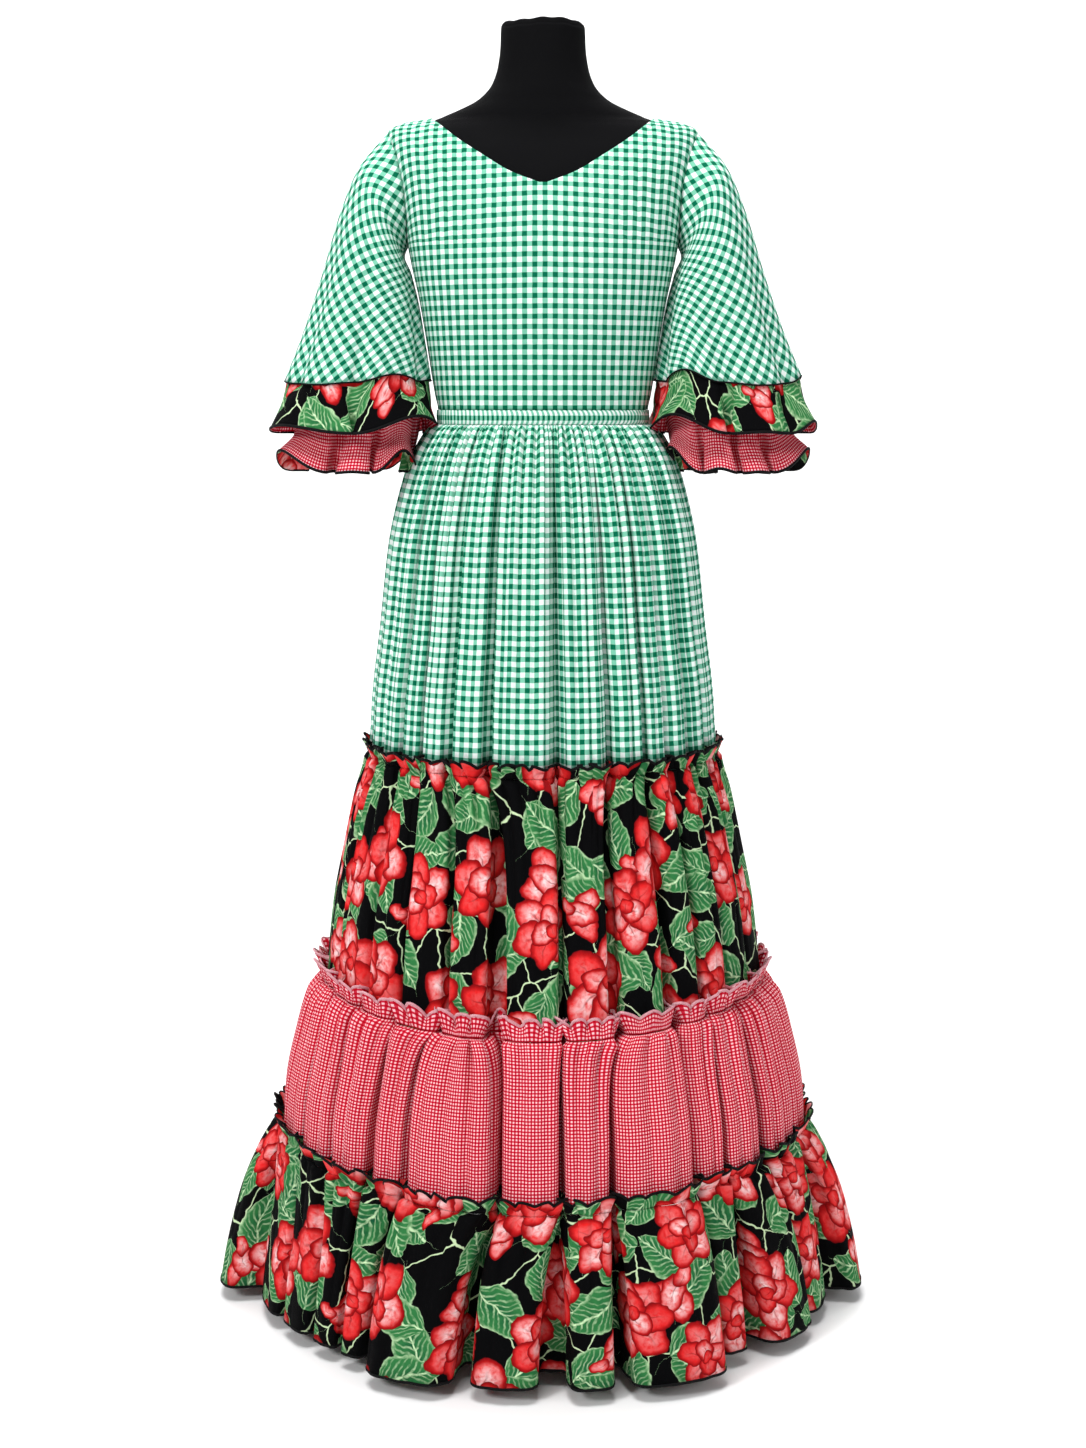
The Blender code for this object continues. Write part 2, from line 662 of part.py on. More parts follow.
def sleeve_ring(row, angle, lobe, depth, wave):
    """One ring of a sleeve or ruffle, seen from its outer edge round by the front."""
    centre = np.array([(row.outer_x + row.inner_x) / 2, 0.0, (row.outer_z + row.inner_z) / 2])
    half = np.array([(row.outer_x - row.inner_x) / 2, 0.0, (row.outer_z - row.inner_z) / 2])
    valley = wave * depth * (1 - lobe)
    half_length = np.linalg.norm(half)
    long = (half_length - valley) / half_length
    ring = centre + half * (np.cos(angle) * long)[:, None]
    ring[:, 1] = -(row.half_depth - valley) * np.sin(angle)
    return ring


def clear_of_body(ring):
    """Moves a ring's points out sideways where they would touch the dress at the wearer's side."""
    moved = ring.copy()
    for point in moved:
        height = point[2]
        if height > CASING_TOP:
            wide = read_table(BODICE_SECTIONS, "half_width", height)
            deep = read_table(BODICE_SECTIONS, "front", height)
        else:
            wide = read_table(SKIRT_SECTIONS, "half_width", height)
            deep = read_table(SKIRT_SECTIONS, "half_depth", height)
        inside = max(0.0, 1 - (point[1] / (deep + SIDE_CLEARANCE)) ** 2)
        point[0] = max(point[0], wide * math.sqrt(inside) + SIDE_CLEARANCE + CLOTH)
    return moved


def mirrored(grid, side):
    """The wearer's left as it is, the wearer's right mirrored with its columns the other way round."""
    if side > 0:
        return grid
    turned = grid[:, ::-1].copy()
    turned[:, :, 0] *= -1
    return turned


def build_sleeve(name, side, waves, edges):
    angle, lobe, depth = wave_columns(waves)
    front = np.sin(angle)
    rings = [armhole_ring(edges, angle)]
    for row, wave in zip(SLEEVE_RINGS, SLEEVE_WAVE_DEPTHS):
        ring = sleeve_ring(row, angle, lobe, depth, wave)
        ring[:, 2] += SLEEVE_LIFT * front * wave / SLEEVE_WAVE_DEPTHS[-1]
        rings.append(clear_of_body(ring))
    outer = np.array(rings)
    # A ring here runs from the outer edge by the front to the inner edge, so it is turned
    # round before its normals point outwards.
    outer = outer[:, ::-1]
    normals, reach = outward_normals(outer, True)
    inner = outer - normals * reach * CLOTH
    outer[0, :, 0] += 2 * SEAM
    inner[0] = outer[0] - normals[0] * CLOTH
    inner[0, :, 0] = np.maximum(inner[0, :, 0], outer[0, :, 0])
    pair = mirrored(outer, side), mirrored(inner, side)
    add_wall(f"sleeve_{name}", *pair, GREEN_CHECK, closed=True)
    layers = (("floral", FLORAL_RUFFLE, FLORAL), ("red", RED_RUFFLE, RED_CHECK))
    for layer, (kind, rows, finish) in enumerate(layers):
        inset = (layer + 1) * RUFFLE_INSET
        hem = outer[-1]
        top = hem + (outer[-2] - hem) * RUFFLE_TOP
        rings = [top - normals[-1] * inset, hem - normals[-1] * inset]
        for row in rows:
            level = row.height
            flat_row = SleeveRing(row.outer_x, level, row.inner_x, level, row.half_depth)
            ring = sleeve_ring(flat_row, angle, lobe, depth, row.wave)
            ring[:, 2] += row.lift * front
            rings.append(clear_of_body(ring)[::-1])
        ruffle = np.array(rings)
        turned, stretch = outward_normals(ruffle, True)
        inside = ruffle - turned * stretch * CLOTH
        pair = mirrored(ruffle, side), mirrored(inside, side)
        add_wall(f"cuff_{kind}_{name}", *pair, finish, closed=True)


def build_form():
    rings = []
    for section in FORM_SECTIONS:
        ring = []
        for step in range(FORM_SIDES):
            angle = 2 * math.pi * step / FORM_SIDES
            depth = "front" if math.cos(angle) > 0 else "back"
            ring.append(body_point(FORM_SECTIONS, depth, section.height, angle))
        rings.append(ring)
    add_stack("form_torso", np.array(rings), BLACK_JERSEY)


def turned_rings(profile, sides):
    angles = [2 * math.pi * step / sides for step in range(sides)]
    rings = []
    for radius, height in profile:
        rings.append([(radius * math.cos(a), radius * math.sin(a), height) for a in angles])
    return np.array(rings)


def build_stand():
    pole = ((POLE_RADIUS, POLE_BOTTOM), (POLE_RADIUS, POLE_TOP))
    add_stack("stand_base", turned_rings(BASE_PROFILE, BASE_SIDES), BLACK_PAINT)
    add_stack("stand_pole", turned_rings(pole, POLE_SIDES), STEEL)


clear_scene()
build_form()
build_stand()
armhole_edges = build_bodice()
build_casing()
build_skirt()
build_sleeve("left", 1, LEFT_WAVES, armhole_edges)
build_sleeve("right", -1, RIGHT_WAVES, armhole_edges)
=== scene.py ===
"""The looks of a flamenco dress on its dress form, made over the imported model."""

import math
from collections import namedtuple

import bpy
import numpy as np
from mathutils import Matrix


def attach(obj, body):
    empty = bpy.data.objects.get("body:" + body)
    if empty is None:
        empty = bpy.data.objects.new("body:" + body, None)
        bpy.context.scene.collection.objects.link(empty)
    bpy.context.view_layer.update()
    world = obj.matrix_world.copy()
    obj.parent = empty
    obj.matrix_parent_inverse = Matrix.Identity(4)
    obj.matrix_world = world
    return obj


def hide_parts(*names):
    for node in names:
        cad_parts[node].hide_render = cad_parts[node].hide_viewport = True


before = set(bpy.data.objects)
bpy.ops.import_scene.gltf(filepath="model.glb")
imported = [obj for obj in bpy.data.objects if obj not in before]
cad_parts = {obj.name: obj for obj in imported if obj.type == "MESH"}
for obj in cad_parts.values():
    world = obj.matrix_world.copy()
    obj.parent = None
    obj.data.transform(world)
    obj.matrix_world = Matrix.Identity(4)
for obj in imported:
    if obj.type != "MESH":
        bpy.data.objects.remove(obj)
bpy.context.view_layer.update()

# Camera
# The photograph is taken straight from the front, from chest height, with the lens turned a
# little down. Its place and field of view come from the shoulders, waist, seams and hem.
CAMERA_PLACE = (0.0, -3.0, 1.216)
CAMERA_DOWN = 8.09
CAMERA_LENS = 56.7

camera_data = bpy.data.cameras.new("camera")
camera_data.lens = CAMERA_LENS
camera_data.sensor_width = 36.0
camera_data.clip_end = 50.0
camera = bpy.data.objects.new("camera", camera_data)
camera.location = CAMERA_PLACE
camera.rotation_euler = (math.radians(90.0 - CAMERA_DOWN), 0.0, 0.0)
bpy.context.scene.collection.objects.link(camera)
bpy.context.scene.camera = camera


# Studio
# A plain white sweep of floor and wall with a soft light overhead, a key light from the viewer's
# left, a weaker one from the right and one for the wall. The paper can be seen from its face
# only, so the dress can also be looked at from behind it.
FLOOR_HALF = 6.0
WALL_BEHIND = 3.2
SWEEP_RADIUS = 1.2
SWEEP_STEPS = 16
WALL_TOP = 5.0
Lamp = namedtuple("Lamp", "name place aim size power")
LAMPS = (
    Lamp("lamp_above", (-0.4, -1.3, 4.4), (0.0, 0.0, 0.6), 1.6, 120.0),
    Lamp("lamp_key", (-2.6, -3.4, 2.9), (0.0, 0.0, 0.9), 0.9, 105.0),
    Lamp("lamp_right", (3.2, -2.2, 1.8), (0.0, 0.0, 0.8), 1.4, 34.0),
    Lamp("lamp_behind", (0.0, 1.5, 4.4), (0.0, 3.0, 1.2), 3.0, 130.0),
)
SKY_COLOUR = (0.97, 0.98, 1.0, 1.0)
SKY_STRENGTH = 0.30
FLOOR_COLOUR = (0.9, 0.9, 0.9, 1.0)
FLOOR_ROUGHNESS = 0.9


def new_material(name):
    """A material with its Principled shader and its node tree."""
    material = bpy.data.materials.new(name)
    material.use_nodes = True
    tree = material.node_tree
    return material, tree, tree.nodes["Principled BSDF"]


def wire(tree, source, target):
    """Joins an output to an input, or sets the input where the source is a plain value."""
    if isinstance(source, bpy.types.NodeSocket):
        tree.links.new(source, target)
    else:
        target.default_value = source


def coat(tree, shader, colour, roughness, shine=0.5):
    """Gives a shader its colour, roughness and specular level, each joined or set."""
    wire(tree, colour, shader.inputs["Base Color"])
    wire(tree, roughness, shader.inputs["Roughness"])
    wire(tree, shine, shader.inputs["Specular IOR Level"])


def add_node(tree, kind, inputs=None, **settings):
    """A node with its settings, and with inputs that are joined or set by name or number."""
    node = tree.nodes.new("ShaderNode" + kind)
    for name, setting in settings.items():
        setattr(node, name, setting)
    for label, source in (inputs or {}).items():
        wire(tree, source, node.inputs[label])
    return node


profile = [(-FLOOR_HALF, 0.0), (WALL_BEHIND - SWEEP_RADIUS, 0.0)]
for step in range(1, SWEEP_STEPS + 1):
    turn = math.pi / 2 * step / SWEEP_STEPS
    along = WALL_BEHIND - SWEEP_RADIUS + SWEEP_RADIUS * math.sin(turn)
    profile.append((along, SWEEP_RADIUS * (1 - math.cos(turn))))
profile.append((WALL_BEHIND, WALL_TOP))
sweep_points = []
for side in (-FLOOR_HALF, FLOOR_HALF):
    sweep_points += [(side, along, height) for along, height in profile]
count = len(profile)
sweep_faces = [(i, i + count, i + count + 1, i + 1) for i in range(count - 1)]
sweep_mesh = bpy.data.meshes.new("studio_sweep")
sweep_mesh.from_pydata(sweep_points, [], sweep_faces)
sweep_mesh.shade_smooth()
sweep = bpy.data.objects.new("studio_sweep", sweep_mesh)
bpy.context.scene.collection.objects.link(sweep)
sweep_material, tree, shader = new_material("studio_paper")
coat(tree, shader, FLOOR_COLOUR, FLOOR_ROUGHNESS)
facing_away = add_node(tree, "NewGeometry").outputs["Backfacing"]
clear = add_node(tree, "BsdfTransparent").outputs[0]
one_way = add_node(tree, "MixShader", {0: facing_away, 1: shader.outputs[0], 2: clear})
wire(tree, one_way.outputs[0], tree.nodes["Material Output"].inputs["Surface"])
sweep_mesh.materials.append(sweep_material)

for lamp in LAMPS:
    light = bpy.data.lights.new(lamp.name, "AREA")
    light.size = lamp.size
    light.energy = lamp.power
    stand = bpy.data.objects.new(lamp.name, light)
    stand.location = lamp.place
    aim = [a - p for a, p in zip(lamp.aim, lamp.place)]
    stand.rotation_euler = (
        math.atan2(math.hypot(aim[0], aim[1]), -aim[2]),
        0.0,
        math.atan2(aim[1], aim[0]) - math.pi / 2,
    )
    bpy.context.scene.collection.objects.link(stand)
world = bpy.data.worlds.new("studio_sky")
world.use_nodes = True
tree = world.node_tree
sky = tree.nodes["Background"]
sky.inputs["Color"].default_value = SKY_COLOUR
sky.inputs["Strength"].default_value = SKY_STRENGTH
bright = add_node(tree, "Background", {"Color": SKY_COLOUR})
looked_at = add_node(tree, "LightPath").outputs["Is Camera Ray"]
seen = add_node(tree, "MixShader", {0: looked_at, 1: sky.outputs[0], 2: bright.outputs[0]})
wire(tree, seen.outputs[0], tree.nodes["World Output"].inputs["Surface"])
bpy.context.scene.world = world
bpy.context.scene.view_settings.view_transform = "Standard"


# Dress form
# A limbless torso with a neck stub, a hard hollow shell under a tight cover of fine-ribbed
# black jersey. It is drawn smooth through the same sections as its solid.
TorsoSection = namedtuple("TorsoSection", "height half_width front back")
FORM_SECTIONS = [TorsoSection(*row) for row in (
    (0.8400, 0.130, 0.082, 0.086),
    (0.8440, 0.152, 0.100, 0.106),
    (0.8560, 0.162, 0.108, 0.116),
    (0.9200, 0.169, 0.113, 0.124),
    (0.9900, 0.168, 0.114, 0.124),
    (1.0800, 0.151, 0.106, 0.108),
    (1.1500, 0.1365, 0.0985, 0.0965),
    (1.1800, 0.1342, 0.0982, 0.0942),
    (1.2060, 0.1342, 0.0982, 0.0942),
    (1.2500, 0.1390, 0.1020, 0.0950),
    (1.3100, 0.1475, 0.1120, 0.0985),
    (1.3700, 0.1570, 0.1170, 0.1030),
    (1.4110, 0.1640, 0.1145, 0.1050),
    (1.4500, 0.1690, 0.1080, 0.1035),
    (1.4900, 0.1760, 0.0965, 0.0950),
    (1.5250, 0.1850, 0.0790, 0.0805),
    (1.5440, 0.1895, 0.0665, 0.0680),
    (1.5548, 0.1885, 0.0615, 0.0630),
    (1.5630, 0.1760, 0.0590, 0.0605),
    (1.5675, 0.1600, 0.0580, 0.0600),
    (1.5700, 0.1400, 0.0575, 0.0595),
    (1.5765, 0.1230, 0.0570, 0.0590),
    (1.5840, 0.1050, 0.0560, 0.0580),
    (1.5930, 0.0865, 0.0550, 0.0570),
    (1.6030, 0.0740, 0.0545, 0.0560),
    (1.6150, 0.0650, 0.0535, 0.0545),
    (1.6350, 0.0580, 0.0520, 0.0530),
    (1.6600, 0.0545, 0.0510, 0.0520),
    (1.6850, 0.0535, 0.0500, 0.0510),
    (1.6905, 0.0515, 0.0480, 0.0490),
    (1.6920, 0.0470, 0.0440, 0.0450),
)]
# How square a section is at each height: 2 is an ellipse, less is pointed at the sides
SQUARENESS = (
    (1.25, 2.0),
    (1.37, 2.4),
    (1.525, 2.3),
    (1.545, 2.1),
    (1.556, 1.8),
    (1.565, 1.55),
    (1.60, 2.0),
)
FORM_COLUMNS = 96
# The rows of the form lie closest on the rounded top of the neck, and wider below the shoulders
NECK_EDGE = 1.684
SHOULDER_LINE = 1.552
FORM_STEPS = (0.001, 0.003, 0.006)
FOOT_HEIGHT = 0.018
FOOT_ROWS = 8
CAP_RINGS = (0.97, 0.75, 0.5, 0.25, 0.02)
# Puckers of the cover round the neck's top: height, number and turn
PUCKERS = ((0.0011, 3, 0.6), (0.0007, 11, 2.0))
PUCKER_START = 1.672
PUCKER_REACH = 0.018
CAP_START = 1.68
CAP_DROP = 0.0010
JERSEY_COLOUR = (0.0016, 0.0016, 0.0019, 1.0)
JERSEY_FADE = (0.004, 0.004, 0.0046, 1.0)
JERSEY_SHINE = 0.05
JERSEY_RIB = 0.0011
# Noises are given as blotches a metre and detail, ranges as low, high and what they turn into,
# and reliefs as strength and depth
JERSEY_FUZZ = (900.0, 2.0)
JERSEY_WEAR = (14.0, 4.0)
JERSEY_ROUGHNESS = (0.3, 0.7, 0.78, 0.92)
JERSEY_RELIEF = (0.4, 0.0002)


def smooth(xs, ys, x):
    """A curve through the rows ys, one for each of xs, that never overshoots them, read at x."""
    xs, ys, x = (np.asarray(values, float) for values in (xs, ys, x))
    beside = (1,) * (ys.ndim - 1)
    step = np.diff(xs).reshape(-1, *beside)
    slope = np.diff(ys, axis=0) / step
    total = slope[1:] + slope[:-1]
    product = slope[1:] * slope[:-1]
    inner = np.where(product > 0, 2 * product / np.where(total == 0, 1.0, total), 0.0)
    grade = np.concatenate([slope[:1], inner, slope[-1:]])
    i = np.clip(np.searchsorted(xs, x) - 1, 0, len(xs) - 2)
    t = np.clip((x - xs[i]) / (xs[i + 1] - xs[i]), 0.0, 1.0)
    t = np.reshape(t, (*x.shape, *beside))
    start = ys[i] * (1 + 2 * t) + grade[i] * step[i] * t
    end = ys[i + 1] * (3 - 2 * t) + grade[i + 1] * step[i] * (t - 1)
    return start * (1 - t) ** 2 + end * t**2


def read_table(table, field, height):
    """The named column of a table of sections, at any heights."""
    rows = sorted(table, key=lambda row: row.height)
    heights = [row.height for row in rows]
    return smooth(heights, [getattr(row, field) for row in rows], height)


def torso_points(table, height, angle):
    """Points of a torso section: angle 0 in the middle of the front, 90 degrees at the left."""
    power = 2 / np.interp(height, *zip(*SQUARENESS))
    front = np.cos(angle) > 0
    deep = np.where(
        front, read_table(table, "front", height), read_table(table, "back", height)
    )
    across = np.sign(np.sin(angle)) * np.abs(np.sin(angle)) ** power
    x = read_table(table, "half_width", height) * across
    y = -deep * np.sign(np.cos(angle)) * np.abs(np.cos(angle)) ** power
    return np.stack([x, y, height + 0 * x], axis=-1)


def ring_angles(columns):
    """Angles of the columns of a closed ring, from the wearer's right."""
    return -math.pi / 2 + 2 * math.pi * np.arange(columns) / columns


def cloth_lengths(grid, gathered=False, closed=True):
    """Places on the flat cloth, in metres, of a grid of rings: along each ring, and down it.

    A gathered strip has the length of its last ring all the way up, and its length down is
    that of its mean profile."""
    around = grid[:, :1] if closed else None
    along = np.diff(grid, axis=1, append=around) if closed else np.diff(grid, axis=1)
    along = np.linalg.norm(along, axis=2)
    if gathered:
        along = np.repeat(along[-1:], len(along), axis=0)
    down = np.linalg.norm(np.diff(grid, axis=0), axis=2).mean(axis=1)
    if gathered:
        reach = np.linalg.norm((grid - grid.mean(axis=1, keepdims=True))[..., :2], axis=2)
        down = np.hypot(np.diff(reach.mean(axis=1)), np.diff(grid[..., 2].mean(axis=1)))
    u = np.concatenate([np.zeros((len(along), 1)), np.cumsum(along, axis=1)], axis=1)
    v = np.concatenate([[0.0], np.cumsum(down)])
    return np.stack([u, 0 * u - v[:, None]], axis=-1)


def add_shell(name, grid, cloth, materials, wall=None, closed=True):
    """A thin shell over a grid of points, rows from the top and columns to the wearer's left.

    cloth holds the same grid's places on the flat cloth, in metres, with one more column where
    the shell is closed into a tube. The second material is the cloth's inner side."""
    rows, columns = grid.shape[:2]
    quads = columns if closed else columns - 1
    r, c = np.meshgrid(np.arange(rows - 1), np.arange(quads), indexing="ij")
    d = (c + 1) % columns
    faces = np.stack([r * columns + c, (r + 1) * columns + c], axis=-1)
    faces = np.concatenate([faces, np.stack([(r + 1) * columns + d, r * columns + d], -1)], -1)
    mesh = bpy.data.meshes.new(name)
    mesh.from_pydata(grid.reshape(-1, 3).tolist(), [], faces.reshape(-1, 4).tolist())
    corners = np.stack([cloth[r, c], cloth[r + 1, c], cloth[r + 1, c + 1], cloth[r, c + 1]], 2)
    layer = mesh.uv_layers.new(name="cloth")
    layer.data.foreach_set("uv", corners.astype(np.float32).reshape(-1))
    mesh.shade_smooth()
    for material in materials:
        mesh.materials.append(material)
    obj = bpy.data.objects.new(name, mesh)
    bpy.context.scene.collection.objects.link(obj)
    if wall:
        solid = obj.modifiers.new("cloth", "SOLIDIFY")
        solid.thickness = wall
        solid.offset = -1.0
        solid.material_offset = len(materials) - 1
    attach(obj, "root")
    return obj


def calc(tree, operation, *values):
    """The output of a Math node."""
    return add_node(tree, "Math", dict(enumerate(values)), operation=operation).outputs[0]


def calc_range(tree, value, low, high, start=0.0, end=1.0):
    """The value taken from the range low to high over to start to end, and kept inside it."""
    inputs = dict(enumerate((value, low, high, start, end)))
    return add_node(tree, "MapRange", inputs).outputs[0]


def blend(tree, share, first, second):
    """A mix of two colours, all of the second where share is 1."""
    return add_node(tree, "Mix", {0: share, 6: first, 7: second}, data_type="RGBA").outputs[2]


def noise(tree, place, scale, detail):
    """A soft noise of that many blotches a metre, from 0 to 1."""
    inputs = {"Vector": place, "Scale": scale, "Detail": detail}
    return add_node(tree, "TexNoise", inputs).outputs[0]


def split(tree, vector):
    """The coordinates of a vector."""
    return add_node(tree, "SeparateXYZ", {0: vector}).outputs


def ripple(tree, value, half):
    """A wave from -1 to 1 along a value, and the length of half a wave."""
    turns = calc(tree, "DIVIDE", value, half)
    return calc(tree, "SINE", calc(tree, "MULTIPLY", turns, math.pi))


def cloth_place(tree):
    """The place on the flat cloth, in metres."""
    return add_node(tree, "UVMap", uv_map="cloth").outputs[0]


def bump(tree, shader, height, strength, distance):
    """Feeds a height through a Bump node to the shader."""
    inputs = {"Strength": strength, "Distance": distance, "Height": height}
    wire(tree, add_node(tree, "Bump", inputs).outputs[0], shader.inputs["Normal"])


jersey, tree, shader = new_material("black_jersey")
place = cloth_place(tree)
rib = ripple(tree, split(tree, place)[0], JERSEY_RIB / 2)
fuzz = noise(tree, place, *JERSEY_FUZZ)
worn = noise(tree, place, *JERSEY_WEAR)
black = blend(tree, worn, JERSEY_COLOUR, JERSEY_FADE)
coat(tree, shader, black, calc_range(tree, worn, *JERSEY_ROUGHNESS), JERSEY_SHINE)
bump(tree, shader, calc(tree, "ADD", rib, fuzz), *JERSEY_RELIEF)

top = FORM_SECTIONS[-1].height
bottom = FORM_SECTIONS[0].height
heights = np.concatenate([
    np.arange(top, NECK_EDGE, -FORM_STEPS[0]),
    np.arange(NECK_EDGE, SHOULDER_LINE, -FORM_STEPS[1]),
    np.arange(SHOULDER_LINE, bottom + FOOT_HEIGHT, -FORM_STEPS[2]),
    np.linspace(bottom + FOOT_HEIGHT, bottom, FOOT_ROWS),
])
angles = ring_angles(FORM_COLUMNS)
torso = torso_points(FORM_SECTIONS, heights[:, None] + 0 * angles, angles[None, :])
# The cover is gathered over the neck's top edge, so that edge is a little uneven.
pucker = sum(high * np.sin(count * angles + turn) for high, count, turn in PUCKERS)
up = heights[:, None]
torso[:, :, 2] += pucker * np.clip((up - PUCKER_START) / PUCKER_REACH, 0, 1)
torso[:, :, 2] -= CAP_DROP * (up > CAP_START)
cap = [torso[0] * [share, share, 1.0] for share in CAP_RINGS]
foot = [torso[-1] * [share, share, 1.0] for share in CAP_RINGS]
torso = np.concatenate([np.array(cap[::-1]), torso, np.array(foot)])
form = add_shell("form_jersey", torso, cloth_lengths(torso), [jersey])
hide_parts("form_torso")


# Stand
# A brushed steel tube rises from a heavy painted disc to the torso. Both keep their solids and
# get a finish: fine brushing on the tube, a lightly textured paint below.
STEEL_COLOUR = (0.56, 0.56, 0.58, 1.0)
STEEL_DARK = (0.4, 0.4, 0.42, 1.0)
BRUSH_STRETCH = (40.0, 40.0, 1.0)
BRUSHING = (60.0, 4.0)
STEEL_ROUGHNESS = (0.3, 0.7, 0.22, 0.36)
PAINT_COLOUR = (0.018, 0.018, 0.02, 1.0)
PAINT_DUST = (0.05, 0.05, 0.052, 1.0)
PAINT_GRAIN = (700.0, 2.0)
DUST_SPOTS = (9.0, 5.0)
DUST_RANGE = (0.5, 0.75)
PAINT_ROUGHNESS = (0.0, 1.0, 0.42, 0.62)
PAINT_RELIEF = (0.35, 0.0004)


def solid_place(tree):
    """The place in the object, in metres."""
    return add_node(tree, "TexCoord").outputs["Object"]


def set_finish(node, material):
    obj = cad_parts[node]
    obj.data.materials.clear()
    obj.data.materials.append(material)


steel, tree, shader = new_material("pole_steel")
inputs = {0: solid_place(tree), 1: BRUSH_STRETCH}
stretched = add_node(tree, "VectorMath", inputs, operation="MULTIPLY").outputs[0]
brushing = noise(tree, stretched, *BRUSHING)
grey = blend(tree, brushing, STEEL_DARK, STEEL_COLOUR)
coat(tree, shader, grey, calc_range(tree, brushing, *STEEL_ROUGHNESS))
shader.inputs["Metallic"].default_value = 1.0
set_finish("stand_pole", steel)

paint, tree, shader = new_material("base_paint")
grain = noise(tree, solid_place(tree), *PAINT_GRAIN)
dust = calc_range(tree, noise(tree, solid_place(tree), *DUST_SPOTS), *DUST_RANGE)
dusty = blend(tree, dust, PAINT_COLOUR, PAINT_DUST)
coat(tree, shader, dusty, calc_range(tree, dust, *PAINT_ROUGHNESS))
bump(tree, shader, grain, *PAINT_RELIEF)
set_finish("stand_base", paint)


# Bodice
# Front and back of green and white quarter-inch gingham on the straight grain, with a soft wide
# V in front and a shallow scoop behind, sewn at the shoulders and sides, its neck edge turned.
BODICE_SECTIONS = [TorsoSection(*row) for row in (
    (1.1800, 0.1365, 0.1005, 0.0965),
    (1.2040, 0.1367, 0.1007, 0.0966),
    (1.2200, 0.1400, 0.1040, 0.0970),
    (1.2500, 0.1450, 0.1075, 0.0985),
    (1.2900, 0.1510, 0.1130, 0.1005),
    (1.3440, 0.1600, 0.1195, 0.1040),
    (1.3900, 0.1700, 0.1205, 0.1080),
    (1.4110, 0.1740, 0.1185, 0.1090),
    (1.4500, 0.1810, 0.1125, 0.1080),
    (1.4900, 0.1890, 0.1015, 0.1000),
    (1.5250, 0.1965, 0.0845, 0.0860),
    (1.5450, 0.1990, 0.0720, 0.0740),
    (1.5560, 0.1990, 0.0670, 0.0690),
    (1.5650, 0.1840, 0.0640, 0.0660),
    (1.5695, 0.1660, 0.0625, 0.0645),
    (1.5720, 0.1435, 0.0620, 0.0640),
)]
BODICE_BOTTOM = 1.2035
UNDERARM = 1.411
SHOULDER_POINT = 1.556
NECK_POINT = 1.572
# Each edge line: distance from the centre line and height
FRONT_NECKLINE = (
    (0.0, 1.482),
    (0.040, 1.4975),
    (0.0725, 1.5176),
    (0.1066, 1.541),
    (0.1435, NECK_POINT),
)
BACK_NECKLINE = (
    (0.0, 1.530),
    (0.050, 1.5345),
    (0.095, 1.549),
    (0.1250, 1.563),
    (0.1435, NECK_POINT),
)
# The armhole's edge: height and distance from the centre line
ARMHOLE_EDGE = (
    (UNDERARM, 0.1740),
    (1.447, 0.1735),
    (1.487, 0.1775),
    (1.522, 0.1860),
    (SHOULDER_POINT, 0.1990),
)
BODICE_ROWS = 84
BODICE_COLUMNS = 88
NECKLINE_HALVINGS = 30
CLOTH_WALL = 0.0007
SEAM = 0.0003

CHECK = 0.00635
# How far the woven stripes waver: blotches a metre and share, and how soft their edges are
STRIPE_WAVER = (90.0, 0.0012)
STRIPE_EDGE = 0.13
GREEN_DARK = (0.0012, 0.125, 0.06, 1.0)
GREEN_MID = (0.185, 0.52, 0.37, 1.0)
GREEN_WHITE = (0.82, 0.89, 0.86, 1.0)
THREAD = 0.00042
SLUBS = (260.0, 3.0)
SLUB_TONES = (0.3, 0.7, 0.92, 1.0)
DYE = (30.0, 3.0)
DYE_TONES = (0.25, 0.75, 0.93, 1.0)
COTTON_ROUGHNESS = 0.82
COTTON_SHINE = 0.04
COTTON_RELIEF = (0.35, 0.00018)


def new_group(name, sockets_in, sockets_out):
    """An empty node group with its named inputs and outputs."""
    group = bpy.data.node_groups.new(name, "ShaderNodeTree")
    for label, kind in sockets_in:
        group.interface.new_socket(label, in_out="INPUT", socket_type="NodeSocket" + kind)
    for label, kind in sockets_out:
        group.interface.new_socket(label, in_out="OUTPUT", socket_type="NodeSocket" + kind)
    return group, group.nodes.new("NodeGroupInput").outputs, group.nodes.new("NodeGroupOutput")


def place_group(tree, group, **inputs):
    """The outputs of a node group placed in a tree."""
    return add_node(tree, "Group", inputs, node_tree=group).outputs


def waver(tree, place, scale, share):
    """Places moved a little by a soft noise, so that what is drawn there is never ruled."""
    cloud = add_node(tree, "TexNoise", {"Vector": place, "Scale": scale}).outputs["Color"]
    return add_node(tree, "Mix", {0: share, 4: place, 5: cloud}, data_type="VECTOR").outputs[1]


# Plain weave: warp and weft threads pass over and under each other, and some are a little thick.
tree, given, result = new_group(
    "cotton_weave",
    (("Place", "Vector"), ("Thread", "Float")),
    (("Height", "Float"), ("Slub", "Float")),
)
weave_group = tree
axes = split(tree, given["Place"])
over = calc(tree, "MULTIPLY", *(ripple(tree, axes[i], given["Thread"]) for i in (0, 1)))
slub = noise(tree, given["Place"], *SLUBS)
wire(tree, calc(tree, "ADD", over, slub), result.inputs["Height"])
wire(tree, slub, result.inputs["Slub"])

